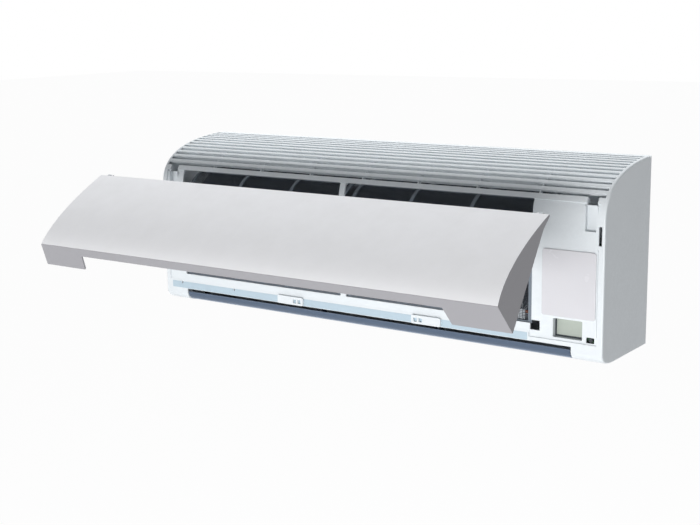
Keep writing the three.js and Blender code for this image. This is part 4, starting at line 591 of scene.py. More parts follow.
def plastic(name, colour, roughness, grain=0.3, dust=0.2, wear=0.2, mottle=0.05,
            dust_colour="#a9a7a1"):
    """A moulded plastic: mottled a little, dusty on top, rubbed at its edges."""
    material, tree, shader = blank_material(name)
    skin = effect(tree, moulded_grain, {"Depth": grain})
    dusty = effect(tree, settled_dust, {"Amount": dust})["Mask"]
    rubbed = effect(tree, edge_wear, {"Amount": wear})["Mask"]
    base = shade(colour)
    share = calc(tree, "MULTIPLY", skin["Mottle"], mottle * 4)
    body = mixed_colour(tree, share, base, tinted(base, DARKER))
    body = mixed_colour(tree, rubbed, body, tinted(base, 1.12, 0.02))
    body = mixed_colour(tree, dusty, body, shade(dust_colour))
    cloudy = remapped(tree, skin["Mottle"], 0.0, 1.0, roughness, roughness + mottle)
    dull = calc(tree, "MULTIPLY", dusty, DULLED_BY_DUST)
    tree.links.new(body, shader.inputs["Base Color"])
    tree.links.new(calc(tree, "ADD", cloudy, dull), shader.inputs["Roughness"])
    tree.links.new(skin["Normal"], shader.inputs["Normal"])
    return material


def dress(thing, body, material, slot, *nodes):
    """Gives a finished piece its material and its body, and hides the imported solids it stands
    for. The slot is not used.
    """
    thing.data.materials.clear()
    thing.data.materials.append(material)
    if nodes:
        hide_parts(*nodes)
    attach(thing, body)


white_abs = plastic("white_casing_abs", "#dfe4e7", 0.36, grain=0.35, dust=0.22, wear=0.25)
dress(casing, "casing", white_abs, "white_plastic", "front_casing")

# ------------------------------------------------------------------ outlet strip painted shade
# The strip over the air outlet carries a thin, pale blue-grey band on its flat front: painted shade
# for the strip's lower part. It is cut round, with holes for the screws and for the strip's two
# latches.
SHADE_BAND_THICKNESS = 0.3
SHADE_BAND = (-HALF_WIDTH + 14, CONTROL_LEFT - 5, STRIP_BOTTOM + 0.6, STRIP_TOP - 5.4)
strip_shade_band = bar_along_y(rounded(*SHADE_BAND, 0.8), FRONT_Y - SHADE_BAND_THICKNESS, FRONT_Y + 0.1,
                     "strip_painted_shade")
cut(strip_shade_band, *(rod_along_y(radius, x, z, FRONT_Y - 2, FRONT_Y + 2) for radius, holes_x, z in (
    (3.9, SCREWS_X, SCREW_Z), (1.9, LATCHES_X, LATCH_Z)) for x in holes_x))
soften(strip_shade_band, 0)
# Painted shade: this blue-grey stands in for the shade on the strip's lower part.
blue_grey_shade = plastic("painted_shade_blue_grey_plastic", "#b3c5d0", 0.3, grain=0.2, dust=0.15, mottle=0.02)
dress(strip_shade_band, "casing", blue_grey_shade, "pale_plastic")

# ------------------------------------------------------------------ intake grille
# The casing's top is open in long slots. The slats between them are wedge-shaped bars moulded
# with the casing, and thin ribs under them run from front to rear and keep them straight.
SLAT_COUNT = 11
SLAT_WIDTH = 6.4
SLAT_TAPER = 0.55                  # inner width over outer width
SLAT_EDGE = 0.9
RIB_COUNT = 7
RIB_THICKNESS, RIB_HEIGHT = 2.0, 6.5
RIB_SINK = SLAT_DEPTH * 0.35 + RIB_HEIGHT / 2
RIB_STARTS_BEFORE, RIB_ENDS_BEFORE = 2.0, 5.0


def geometry_tree(name, floats, integers):
    """A geometry node tree with named inputs for its sizes, and those inputs."""
    tree = bpy.data.node_groups.new(name, "GeometryNodeTree")
    kinds = (("Geometry", ["Geometry"]), ("Float", floats), ("Int", integers))
    for kind, labels in kinds:
        for label in labels:
            tree.interface.new_socket(label, in_out="INPUT", socket_type=f"NodeSocket{kind}")
    tree.interface.new_socket("Geometry", in_out="OUTPUT", socket_type="NodeSocketGeometry")
    return tree, add(tree, "NodeGroupInput").outputs


def end_tree(tree, geometry, material):
    real = add(tree, "GeometryNodeRealizeInstances", None, {0: geometry})
    painted = add(tree, "GeometryNodeSetMaterial", None,
                  {"Geometry": real.outputs[0], "Material": material})
    add(tree, "NodeGroupOutput", None, {0: painted.outputs[0]})
    return tree


def grow(thing, tree, lengths, counts):
    """Runs a tree on an object with lengths in millimetres and counts, and keeps its mesh."""
    step = thing.modifiers.new(tree.name, "NODES")
    step.node_group = tree
    sockets = {item.name: item.identifier for item in tree.interface.items_tree
               if item.in_out == "INPUT"}
    for label, value in lengths.items():
        step[sockets[label]] = value * MM
    for label, value in counts.items():
        step[sockets[label]] = value
    return keep_as_mesh(thing)


def vector(tree, **parts):
    """A vector of the named parts, the others being zero."""
    return add(tree, "ShaderNodeCombineXYZ", None, parts).outputs[0]


def copies_on(tree, points, thing, turn=None):
    inputs = {"Points": points, "Instance": thing}
    if turn is not None:
        inputs["Rotation"] = turn
    return add(tree, "GeometryNodeInstanceOnPoints", None, inputs).outputs[0]


def row_of(tree, thing, first, pitch, count):
    """Copies of a thing, evenly spaced along X."""
    line = add(tree, "GeometryNodeMeshLine", {"mode": "OFFSET"}, {
        "Count": count, "Start Location": vector(tree, X=first), "Offset": vector(tree, X=pitch)})
    return copies_on(tree, line.outputs[0], thing)


def across_line(tree, curve, thing, count):
    """Copies of a thing along a curve in side view, each turned to lie flush with it."""
    points = add(tree, "GeometryNodeCurveToPoints", {"mode": "COUNT"},
                 {"Curve": curve, "Count": count}).outputs
    ahead = parts_of(tree, points["Tangent"])
    turn = vector(tree, X=calc(tree, "ARCTAN2", ahead["Z"], ahead["Y"]))
    return copies_on(tree, points["Points"], thing, turn)


def swept(tree, curve, section, caps=False):
    """A bar of rectangular section (width, height) along a curve."""
    profile = add(tree, "GeometryNodeCurvePrimitiveQuadrilateral", None,
                  {"Width": section[0], "Height": section[1]})
    return add(tree, "GeometryNodeCurveToMesh", None, {
        "Curve": curve, "Profile Curve": profile.outputs[0], "Fill Caps": caps}).outputs[0]


def swept_bars(tree, curve, depth, section, first, pitch, count):
    """Bars along a curve in side view, sunk under it by depth and repeated along X."""
    ahead = parts_of(tree, add(tree, "GeometryNodeInputTangent").outputs[0])
    inward = vector(tree, Y=calc(tree, "MULTIPLY", ahead["Z"], -1.0), Z=ahead["Y"])
    shift = add(tree, "ShaderNodeVectorMath", {"operation": "SCALE"}, {0: inward, "Scale": depth})
    sunk = add(tree, "GeometryNodeSetPosition", None, {0: curve, "Offset": shift.outputs[0]})
    return row_of(tree, swept(tree, sunk.outputs[0], section, True), first, pitch, count)


def evenly(tree, curve, count):
    return add(tree, "GeometryNodeResampleCurve", {"mode": "COUNT"},
               {"Curve": curve, "Count": count}).outputs[0]


def crown_curve(tree, first, last):
    """The crown's line between two distances, as a curve that a tree can follow."""
    handles = {label: at(0, *point)
               for label, point in zip(("Start", "Start Handle", "End Handle", "End"), CROWN)}
    segment = add(tree, "GeometryNodeCurvePrimitiveBezierSegment", {"mode": "POSITION"},
                  {"Resolution": 96, **handles})
    return add(tree, "GeometryNodeTrimCurve", {"mode": "LENGTH"},
               {"Curve": segment.outputs[0], 4: first, 5: last}).outputs[0]


def slats_tree():
    """Copies the bar that it is given along the crown."""
    tree, given = geometry_tree("intake_slats", ["First Slat", "Last Slat"], ["Slat Count"])
    line = crown_curve(tree, given["First Slat"], given["Last Slat"])
    slats = across_line(tree, line, given["Geometry"], given["Slat Count"])
    return end_tree(tree, slats, white_abs)


def ribs_tree():
    """Sweeps a flat bar along the crown, under its surface, and repeats it from left to right."""
    tree, given = geometry_tree("grille_ribs", [
        "Rib Start", "Rib End", "Rib Depth", "Rib Height", "Rib Thickness", "First Rib",
        "Rib Pitch"], ["Rib Count"])
    line = evenly(tree, crown_curve(tree, given["Rib Start"], given["Rib End"]), 24)
    bars = swept_bars(tree, line, given["Rib Depth"], (given["Rib Thickness"], given["Rib Height"]),
                      given["First Rib"], given["Rib Pitch"], given["Rib Count"])
    return end_tree(tree, bars, white_abs)


def plain_bar(name, outline, half_length):
    """A bar to be repeated by a tree: outline (y, z) about the origin, along X."""
    return prism(name, *([(x, y * MM, z * MM) for y, z in outline]
                         for x in (-half_length * MM, half_length * MM)))


def slat_section():
    """Outline of a slat: across it and inwards from the crown, with its outer edges rounded."""
    outer, inner = SLAT_WIDTH / 2, SLAT_WIDTH / 2 * SLAT_TAPER
    half = [(inner, SLAT_DEPTH), (outer - 0.15, SLAT_EDGE), (outer - 0.25, SLAT_EDGE * 0.35),
            (outer - SLAT_EDGE, 0)]
    return [(-inner, SLAT_DEPTH)] + half + [(-across, depth) for across, depth in half[:0:-1]]


slot_pitch = (crown.distance_at_height(BAR_TOP) - GRILLE_START) / (SLAT_COUNT + 0.5)
slats = plain_bar("intake_slats", slat_section(), GRILLE_HALF + 1)
grow(slats, slats_tree(), {
    "First Slat": GRILLE_START + slot_pitch * 0.75,
    "Last Slat": GRILLE_START + slot_pitch * (SLAT_COUNT - 0.25)}, {"Slat Count": SLAT_COUNT})
soften(slats, 0)
dress(slats, "casing", white_abs, "white_plastic")

rib_pitch = 2 * GRILLE_HALF / (RIB_COUNT + 1)
ribs = new_object("grille_ribs", bpy.data.meshes.new("grille_ribs"))
grow(ribs, ribs_tree(), {
    "Rib Start": GRILLE_START - RIB_STARTS_BEFORE,
    "Rib End": crown.distance_at_height(OPENING_TOP) - RIB_ENDS_BEFORE,
    "Rib Depth": RIB_SINK, "Rib Height": RIB_HEIGHT, "Rib Thickness": RIB_THICKNESS,
    "First Rib": rib_pitch - GRILLE_HALF, "Rib Pitch": rib_pitch}, {"Rib Count": RIB_COUNT})
soften(ribs, 0.3, 1)
dress(ribs, "casing", white_abs, "white_plastic")

# ------------------------------------------------------------------ screws and their caps
# Two pan-head steel screws go through the strip into the drain pan. A small white cap with two
# openings snaps over each head.
HEAD_RADIUS, HEAD_HEIGHT = 3.6, 2.0
SHANK_RADIUS, THREAD_RADIUS, THREAD_LEAD = 1.55, 2.0, 1.3
RECESS_WIDTH, RECESS_REACH, RECESS_DEPTH = 0.9, 2.1, 1.3
CAP_HALF_WIDTH, CAP_HALF_HEIGHT, CAP_DEPTH = 25.0, 6.5, 3.4
CAP_WINDOWS = (9.0, 18.0)          # from the screw to the middle of each opening


def worn_metal(name, colour, roughness, grain_scale, streak, dust=0.25):
    """A bare or plated metal: cloudy roughness, drawn streaks along X, dull dust on top."""
    material, tree, shader = blank_material(name)
    stretched = add(tree, "ShaderNodeMapping", None,
                    {"Vector": object_place(tree), "Scale": (streak, 1.0, 1.0)})
    cloud = noise(tree, stretched.outputs[0], grain_scale, 5.0, 0.6)
    dusty = effect(tree, settled_dust, {"Amount": dust})["Mask"]
    base = shade(colour)
    body = mixed_colour(tree, remapped(tree, cloud, 0.35, 0.7), base, tinted(base, DARKER))
    bump = add(tree, "ShaderNodeBump", None,
               {"Strength": 0.15, "Distance": 0.0002, "Height": cloud})
    for socket, value in (
            ("Base Color", mixed_colour(tree, dusty, body, shade("#8d8a84"))),
            ("Roughness", remapped(tree, cloud, 0.2, 0.8, roughness - 0.1, roughness + 0.15)),
            ("Metallic", calc(tree, "SUBTRACT", 1.0, dusty)), ("Normal", bump.outputs[0])):
        tree.links.new(value, shader.inputs[socket])
    return material


zinc = worn_metal("zinc_plated_steel", "#b9bcbe", 0.42, 320.0, 0.5)


def pan_head_screw(name, x):
    """A turned screw: domed head, cross recess and a threaded shank, made by spinning a profile."""
    front, rear = (corner.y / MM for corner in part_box(name))
    seat = front + HEAD_HEIGHT
    profile = [(0, front), (1.6, front + 0.05), (2.9, front + 0.45), (HEAD_RADIUS, front + 1.15),
               (HEAD_RADIUS, seat), (1.7, seat)]
    thread = seat + 1.0
    while thread < rear - 2.4:
        profile += [(SHANK_RADIUS, thread), (THREAD_RADIUS, thread + 0.5),
                    (SHANK_RADIUS, thread + 1.0)]
        thread += THREAD_LEAD
    profile += [(1.4, rear - 1.6), (0, rear)]
    solid = bmesh.new()
    verts = [solid.verts.new(at(x + radius, y, SCREW_Z)) for radius, y in profile]
    edges = [solid.edges.new(pair) for pair in zip(verts, verts[1:])]
    bmesh.ops.spin(solid, geom=verts + edges, cent=at(x, 0, SCREW_Z), axis=(0, 1, 0),
                   angle=2 * math.pi, steps=28)
    half = RECESS_WIDTH / 2
    return cut(mesh_object(name + "_turned", solid), *(
        block(x - wide, x + wide, front - 1, front + RECESS_DEPTH, SCREW_Z - high, SCREW_Z + high)
        for wide, high in ((RECESS_REACH, half), (half, RECESS_REACH))))


def screw_cap(name, x, window_side):
    rear = FRONT_Y - 0.3
    cap = bar_along_y(rounded(x - CAP_HALF_WIDTH, x + CAP_HALF_WIDTH, SCREW_Z - CAP_HALF_HEIGHT,
                              SCREW_Z + CAP_HALF_HEIGHT, 2.5), rear - CAP_DEPTH, rear, name)
    middles = [x + window_side * offset for offset in CAP_WINDOWS]
    return cut(cap, rod_along_y(4.2, x, SCREW_Z, rear - 2.4, rear + 1), *(
        bar_along_y(rounded(middle - 3, middle + 3, SCREW_Z - 3.5, SCREW_Z + 2.5, 0.8),
                    rear - CAP_DEPTH - 1, rear + 1) for middle in middles))


for side, x, window_side in (("left", SCREWS_X[0], 1), ("right", SCREWS_X[1], -1)):
    screw = soften(pan_head_screw(f"casing_screw_{side}", x), 0)
    dress(screw, "casing", zinc, "zinc_steel", f"casing_screw_{side}")
    cap = soften(screw_cap(f"screw_cap_{side}_moulded", x, window_side), 0.6, 3)
    dress(cap, "casing", white_abs, "white_plastic", f"screw_cap_{side}")

# ------------------------------------------------------------------ terminal cover
# A lift-off plate of glossier white plastic over the wiring terminals, with a lip that drops into
# the opening of the front casing.
COVER_PLATE = 1.7                  # thickness of the plate in front of the lip
COVER_LAP_X, COVER_LAP_Z = 4.3, 8.3
LIP_WALL = 2.0


def terminal_cover():
    plate_rear = COVER_LOW.y + COVER_PLATE

    def ring(inset, radius, y0, y1, name="bar"):
        lap_x, lap_z = (lap + inset for lap in (COVER_LAP_X, COVER_LAP_Z))
        return bar_along_y(rounded(COVER_LOW.x + lap_x, COVER_HIGH.x - lap_x, COVER_LOW.z + lap_z,
                                   COVER_HIGH.z - lap_z, radius), y0, y1, name)

    plate = bar_along_y(rounded(COVER_LOW.x, COVER_HIGH.x, COVER_LOW.z, COVER_HIGH.z, 4),
                        COVER_LOW.y, plate_rear, "terminal_cover_plate")
    soften(plate, 0.9, 3)
    lip = ring(0, 2.5, plate_rear - 0.8, COVER_HIGH.y)
    return join(plate, cut(lip, ring(LIP_WALL, 1.5, plate_rear - 0.3, COVER_HIGH.y + 1)))


glossy_white = plastic("glossy_white_plastic", "#d4d3d7", 0.24, grain=0.15, dust=0.12, wear=0.0)
dress(soften(terminal_cover(), 0), "casing", glossy_white, "panel_plastic", "terminal_cover")

# ------------------------------------------------------------------ display window and button
# A smoked, slightly green window sits at the bottom of a square well, with a green circuit board
# and its lamps behind it. A dark ring round its rim is painted shade, for the shadow on the well's
# walls. The small dark button beside it presses a switch on the same board.
SHADE_RING_WIDTH, SHADE_RING_DEPTH, SHADE_RING_CLEAR = 2.2, 1.2, 0.2
PANE_RIM = 2.5
window_low, window_high = box_of("display_window")


def tinted_window(name, colour, roughness):
    """Tinted plastic with fine moulding ripples and a polished front."""
    material, tree, shader = blank_material(name)
    skin = effect(tree, moulded_grain, {"Depth": 0.08, "Waviness": 0.3})
    base = shade(colour)
    body = mixed_colour(tree, skin["Mottle"], base, tinted(base, 0.8))
    cloudy = remapped(tree, skin["Mottle"], 0.0, 1.0, roughness, roughness + 0.08)
    for socket, value in (("Base Color", body), ("Normal", skin["Normal"]), ("Roughness", cloudy)):
        tree.links.new(value, shader.inputs[socket])
    shader.inputs["Coat Weight"].default_value = 0.4
    return material


def window_plate(box, inset, radius, y0, y1, name="bar"):
    left, right, low, high = box
    return bar_along_y(rounded(left + inset, right - inset, low + inset, high - inset, radius),
                       y0, y1, name)


pane_box = window_low.x, window_high.x, window_low.z, window_high.z
pane = join(window_plate(pane_box, 0, 1.5, window_low.y + 0.2, window_high.y, "display_pane"),
            window_plate(pane_box, PANE_RIM, 1.2, window_low.y, window_low.y + 0.4))
smoked = tinted_window("smoked_window", "#b4bcb2", 0.2)
dress(soften(pane, 0.15, 1), "casing", smoked, "window", "display_window")

dark_plastic = plastic("dark_plastic", "#2b3238", 0.5, grain=0.4, dust=0.25, mottle=0.08,
                       dust_colour="#6f6e6a")
# Painted shade: a dark ring at the pane's rim stands in for the shadow on the well's walls.
ring_rear = window_low.y - 0.05
ring_front = ring_rear - SHADE_RING_DEPTH
well_shade_ring = cut(window_plate(WINDOW, SHADE_RING_CLEAR, 1.0, ring_front, ring_rear, "window_painted_shade_ring"),
             window_plate(WINDOW, SHADE_RING_WIDTH, 0.8, ring_front - 1, ring_rear + 1))
dress(soften(well_shade_ring, 0.2, 1), "casing", dark_plastic, "dark_plastic")

key_low, key_high = box_of("manual_button")
key_x, key_z = (key_low.x + key_high.x) / 2, (key_low.z + key_high.z) / 2
key = rod_along_y((key_high.x - key_low.x) / 2, key_x, key_z, key_low.y, key_high.y, 32)
key.name = "manual_button_key"
cut(key, rod_along_y(1.7, key_x, key_z, key_low.y - 1, key_low.y + 0.35, 24))
dress(soften(key, 0.35, 3), "button", dark_plastic, "dark_plastic", "manual_button")

# ------------------------------------------------------------------ air filters
# Each filter is a bendy grey frame of thin bars with a black woven net moulded into its back. It
# runs up the front, bends over the coil and slides out forwards by the tab at its lower edge.
FILTER_Y = FILTERS["left"][0].y + 3.3  # front face of the bars, behind the tab's reach
FILTER_TOP = OPENING_TOP - 3.5
FILTER_BEND, FILTER_BEND_DEPTH = CASING_HEIGHT - 124, 64.0
FILTER_REAR = FRONT_Y + 110
FILTER_END = OPENING_BOTTOM + 0.3
BAR_DEPTH = 2.0
EDGE_WIDTH, RAIL_WIDTH = 6.0, 3.0
FILTER_CELLS, FILTER_RAILS = 3, 5
THREAD, THREAD_PITCH, NET_INSET = 0.42, 2.3, 2.0
TAB_HALF, TAB_REACH = 20.0, 3.3

filter_bend_start = (FILTER_Y + FILTER_BEND_DEPTH, FILTER_TOP)
filter_line = Line([(FILTER_REAR, FILTER_TOP), filter_bend_start],
                   [filter_bend_start, (FILTER_Y, FILTER_TOP), (FILTER_Y, FILTER_BEND)],
                   [(FILTER_Y, FILTER_BEND), (FILTER_Y, FILTER_END)])


def line_object(name, points):
    """Points (y, z) as loose edges in the plane x = 0, for a tree to sweep along."""
    mesh = bpy.data.meshes.new(name)
    mesh.from_pydata([at(0, *point) for point in points],
                     [(i, i + 1) for i in range(len(points) - 1)], [])
    return new_object(name, mesh)


def mesh_curve(tree, mesh):
    return add(tree, "GeometryNodeMeshToCurve", None, {0: mesh}).outputs[0]


def lattice_tree(name, material):
    """Bars along the given line and bars across it: the filter's frame and, finer, its net."""
    tree, given = geometry_tree(name, [
        "Depth", "Long Width", "Long Height", "First", "Pitch", "Cross Span", "Cross Width",
        "Cross Height", "Cross Middle"], ["Long Count", "Cross Count", "Steps"])
    curve = mesh_curve(tree, given["Geometry"])
    long_bars = swept_bars(tree, evenly(tree, curve, given["Steps"]), given["Depth"],
                           (given["Long Width"], given["Long Height"]), given["First"],
                           given["Pitch"], given["Long Count"])
    size = vector(tree, X=given["Cross Span"], Y=given["Cross Width"], Z=given["Cross Height"])
    bar = add(tree, "GeometryNodeMeshCube", None, {"Size": size}).outputs[0]
    offset = vector(tree, X=given["Cross Middle"], Z=given["Depth"])
    placed = add(tree, "GeometryNodeTransform", None, {"Geometry": bar, "Translation": offset})
    across = across_line(tree, curve, placed.outputs[0], given["Cross Count"])
    both = add(tree, "GeometryNodeJoinGeometry")
    for bars in (long_bars, across):
        tree.links.new(bars, both.inputs[0])
    return end_tree(tree, both.outputs[0], material)


filter_grey = plastic("filter_frame_plastic", "#6d7680", 0.5, dust=0.3, wear=0.25, mottle=0.08,
                      dust_colour="#8f8d88")
net_black = plastic("filter_net_fibre", "#252d39", 0.62, grain=0.2, dust=0.22, wear=0.0,
                    mottle=0.1, dust_colour="#5b5b58")
frame_tree = lattice_tree("filter_frame", filter_grey)
net_tree = lattice_tree("filter_net", net_black)


def grow_lattice(thing, tree, left, right, depth, long_size, cross_size, counts):
    """Grows a frame or net between two sides; the counts are long bars, cross bars and steps."""
    span = right - left
    grow(thing, tree, {
        "Depth": depth, "Long Width": long_size[0], "Long Height": long_size[1],
        "First": left + long_size[0] / 2, "Pitch": (span - long_size[0]) / (counts[0] - 1),
        "Cross Span": span, "Cross Width": cross_size[0], "Cross Height": cross_size[1],
        "Cross Middle": (left + right) / 2},
        dict(zip(("Long Count", "Cross Count", "Steps"), counts)))


def filter_tab(middle):
    tab = bar_along_y(rounded(middle - TAB_HALF, middle + TAB_HALF, OPENING_BOTTOM + 3,
                              OPENING_BOTTOM + 6, 1.2), FILTER_Y - TAB_REACH, FILTER_Y + 0.5)
    return soften(tab, 0.3)


def gather(thing, other):
    """Adds another object's mesh to a thing, as it is, and removes that object."""
    with editing(thing) as solid:
        solid.from_mesh(other.data)
    bpy.data.objects.remove(other, do_unlink=True)


line_points = filter_line.run(0, filter_line.length, 0, 60)
for side, (low, high) in FILTERS.items():
    bars = line_object(f"filter_bars_{side}", line_points)
    grow_lattice(bars, frame_tree, low.x, high.x, BAR_DEPTH / 2, (EDGE_WIDTH, BAR_DEPTH),
                 (RAIL_WIDTH, BAR_DEPTH), (FILTER_CELLS + 1, FILTER_RAILS, 40))
    gather(bars, filter_tab((low.x + high.x) / 2))
    soften(bars, 0.25, 1)
    dress(bars, f"filter_{side}", filter_grey, "filter_plastic", f"filter_frame_{side}")
    net = line_object(f"filter_net_{side}", line_points)
    left, right = low.x + NET_INSET, high.x - NET_INSET
    grow_lattice(net, net_tree, left, right, BAR_DEPTH + 0.5, (THREAD, THREAD), (THREAD, THREAD), (
        round((right - left) / THREAD_PITCH), round(filter_line.length / THREAD_PITCH), 22))
    net.data.shade_flat()
    dress(net, f"filter_{side}", net_black, "filter_net", f"filter_mesh_{side}")

# ------------------------------------------------------------------ front panel
# A curved, hollow moulding of light grey-white plastic with a gloss finish: face, slanted ends, a
# narrow lip between two end tabs, ribs inside, and two arms whose pins turn in the hinge bushes.
# It is drawn closed on the casing, then lifted off and swung open about its hinge pins.
PANEL_HALF = HALF_WIDTH - 10.0
PANEL_WALL = 2.5
PANEL_TOP = Vector((FRONT_Y + 1.5, OPENING_TOP + 2.8))
PANEL_NOSE = Vector((FRONT_Y - 38.4, 73.9))
PANEL_HEEL = Vector((FRONT_Y - 1, 60.0))
PANEL_REAR_EDGE = (FRONT_Y - 0.6, CASING_HEIGHT - 69.0)
PANEL_CROWN = ((0.33, 10.0), (0.75, 17.0))  # share of the chord and bulge of the two handles
PANEL_PULLED = 150.3
PANEL_OPEN = math.radians(41)
LIP_STRIP = 14.0
LIP_TAB_INNER, LIP_TAB_DRAFT = PANEL_HALF - 79.0, 8.0
ARM_OFFSET, ARM_THICKNESS, ARM_EYE = 6.0, 3.0, 3.6
ARM_ROOT = (0.02, 0.11)            # shares of the face's length
PIN_RADIUS = 2.2
BUSH_LENGTH = 6.0
PANEL_RIBS, PANEL_RIB_PITCH = 5, 2 * PANEL_HALF / 6
PANEL_RIB_SINK, PANEL_RIB_SECTION = PANEL_WALL + 1.75, (1.6, 4.5)

chord = PANEL_NOSE - PANEL_TOP
bulge = Vector((chord.y, -chord.x)).normalized()
face = Line([PANEL_TOP, *(PANEL_TOP + chord * share + bulge * out for share, out in PANEL_CROWN),
             PANEL_NOSE])
lip_along = (PANEL_HEEL - PANEL_NOSE).normalized()
lip_up = Vector((-lip_along.y, lip_along.x))
open_panel = (Matrix.Translation(at(0, HINGE_Y - PANEL_PULLED, HINGE_Z))
              @ Matrix.Rotation(-PANEL_OPEN, 4, "X") @ Matrix.Translation(-at(0, HINGE_Y, HINGE_Z)))


def on_lip(along, up):
    return tuple(PANEL_NOSE + lip_along * along + lip_up * up)


def trim_end(thing, side, inset):
    """Cuts the panel off along its slanted end plane and closes the cut."""
    top, nose = (at(side * PANEL_HALF, *point) for point in (PANEL_TOP, PANEL_NOSE))
    low = at(side * HALF_WIDTH, *PANEL_HEEL)
    normal = (nose - top).cross(low - top).normalized()
    if normal.x * side < 0:
        normal = -normal
    with editing(thing) as solid:
        bmesh.ops.bisect_plane(solid, geom=solid.verts[:] + solid.edges[:] + solid.faces[:],
                               plane_co=top - normal * inset * MM, plane_no=normal,
                               clear_outer=True)
        bmesh.ops.holes_fill(solid, edges=[edge for edge in solid.edges if edge.is_boundary])


def panel_shell():
    reach = HALF_WIDTH + 5
    outside = face.run(0, face.length, 0, 40)
    inside = face.run(0, face.length, PANEL_WALL, 40)
    shell = bar_along_x(outside + [tuple(PANEL_HEEL), PANEL_REAR_EDGE, inside[0]], -reach, reach)
    hollow = bar_along_x(inside[:-1] + [
        on_lip(PANEL_WALL * 1.2, PANEL_WALL), on_lip(60, PANEL_WALL),
        (FRONT_Y + 35, PANEL_TOP.y + 10), (inside[0][0] + 1, inside[0][1] + 1)], -reach, reach)
    for side in (-1, 1):
        trim_end(shell, side, 0)
        trim_end(hollow, side, PANEL_WALL)
    return cut(shell, hollow)


def lip_cutter():
    """What is cut from the lip between its two end tabs, with slanted sides."""
    width = (PANEL_HEEL - PANEL_NOSE).length + 4
    wide = LIP_TAB_INNER + LIP_TAB_DRAFT
    corners = ((-LIP_TAB_INNER, LIP_STRIP), (-wide, width), (wide, width),
               (LIP_TAB_INNER, LIP_STRIP))
    return prism("lip_cutter", *([at(x, *on_lip(along, up)) for x, along in corners]
                                 for up in (-3, PANEL_WALL + 4)))


def hinge_arm(side):
    """A flat arm with a round eye and a pin that points to the casing's side."""
    x = side * (CHANNEL_MIDDLE - ARM_OFFSET)
    turns = [math.radians(-80 + 180 * i / 16) for i in range(17)]
    eye = [(HINGE_Y + ARM_EYE * math.cos(turn), HINGE_Z + ARM_EYE * math.sin(turn))
           for turn in turns]
    root = [(y + 1, z) for y, z in (face.at(face.length * share) for share in ARM_ROOT)]
    arm = bar_along_x(eye + root, x - ARM_THICKNESS / 2, x + ARM_THICKNESS / 2)
    pin_end = x + side * (ARM_THICKNESS / 2 + BUSH_LENGTH + 1.6)
    pin = rod_along_x(PIN_RADIUS, min(x, pin_end), max(x, pin_end), HINGE_Y, HINGE_Z, 24)
    return join(arm, pin)


panel = join(cut(panel_shell(), lip_cutter()), hinge_arm(-1), hinge_arm(1))
panel.name = "front_panel_moulding"
soften(panel, 0.6, 3, 32)
panel.data.transform(open_panel)


def end_and_lip_shade_group():
    """Painted shade: a mask that is 0 on the ends, which face left or right, and on one flat, and 1
    elsewhere.
    """
    group, given, result = effect_group(
        "painted_end_and_lip_shade", {"Flat Offset": 0.0}, {"Mask": "NodeSocketFloat"})
    group.interface.new_socket("Flat Normal", in_out="INPUT", socket_type="NodeSocketVector")
    normal = add(group, "ShaderNodeNewGeometry").outputs["Normal"]
    sideways = calc(group, "ABSOLUTE", parts_of(group, normal)["X"], 0.0)
    face_on = remapped(group, sideways, 0.5, 0.7, 1.0, 0.0)
    height = add(group, "ShaderNodeVectorMath", {"operation": "DOT_PRODUCT"},
                 {0: object_place(group), 1: given["Flat Normal"]}).outputs["Value"]
    above = calc(group, "SUBTRACT", height, given["Flat Offset"])
    off_flat = remapped(group, above, 0.0003, 0.0009)
    group.links.new(calc(group, "MULTIPLY", face_on, off_flat), result["Mask"])
    return group


def plastic_with_painted_shade(name, colour, bare, flat_point, flat_normal):
    """Glossy white plastic with painted shade: the bare colour, a darker grey, goes on the ends and
    on one flat.
    """
    material = plastic(name, colour, 0.27, grain=0.12, dust=0.12, wear=0.18, mottle=0.02)
    tree = material.node_tree
    colour_in = tree.nodes["Principled BSDF"].inputs["Base Color"]
    painted = colour_in.links[0].from_socket
    end_shade = effect(tree, end_and_lip_shade_group(),
                  {"Flat Normal": flat_normal, "Flat Offset": flat_point.dot(flat_normal)})
    tree.links.new(mixed_colour(tree, end_shade["Mask"], shade(bare), painted), colour_in)
    return material


# Painted shade: the panel's ends and its lip get a darker grey for the shade on them.
lip_normal = open_panel.to_3x3() @ Vector((0, lip_up.x, lip_up.y))
lip_point = open_panel @ at(0, *PANEL_NOSE)
panel_white = plastic_with_painted_shade("panel_gloss_plastic", "#efeff1", "#969599", lip_point, lip_normal)
dress(panel, "front_panel", panel_white, "panel_plastic", "front_panel")


def panel_ribs_tree():
    """Ribs that follow the inside of the face, evenly spaced along the panel."""
    tree, given = geometry_tree("panel_ribs", [
        "Depth", "Rib Thickness", "Rib Height", "First Rib", "Rib Pitch"], ["Rib Count"])
    bars = swept_bars(tree, mesh_curve(tree, given["Geometry"]), given["Depth"],
                      (given["Rib Thickness"], given["Rib Height"]), given["First Rib"],
                      given["Rib Pitch"], given["Rib Count"])
    return end_tree(tree, bars, panel_white)


panel_ribs = line_object("panel_ribs", face.run(face.length * 0.08, face.length * 0.93, 0, 28))
grow(panel_ribs, panel_ribs_tree(), {
    "Depth": PANEL_RIB_SINK, "Rib Thickness": PANEL_RIB_SECTION[0],
    "Rib Height": PANEL_RIB_SECTION[1], "First Rib": -2 * PANEL_RIB_PITCH,
    "Rib Pitch": PANEL_RIB_PITCH}, {"Rib Count": PANEL_RIBS})
soften(panel_ribs, 0.25, 1)
panel_ribs.data.transform(open_panel)
dress(panel_ribs, "front_panel", panel_white, "panel_plastic")


def copy_of(node, name):
    """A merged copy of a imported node, ready to be rounded and shaded."""
    copy = new_object(name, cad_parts[node].data.copy())
    copy.data.name = name
    with editing(copy) as solid:
        bmesh.ops.remove_doubles(solid, verts=solid.verts, dist=1e-6)
    return copy


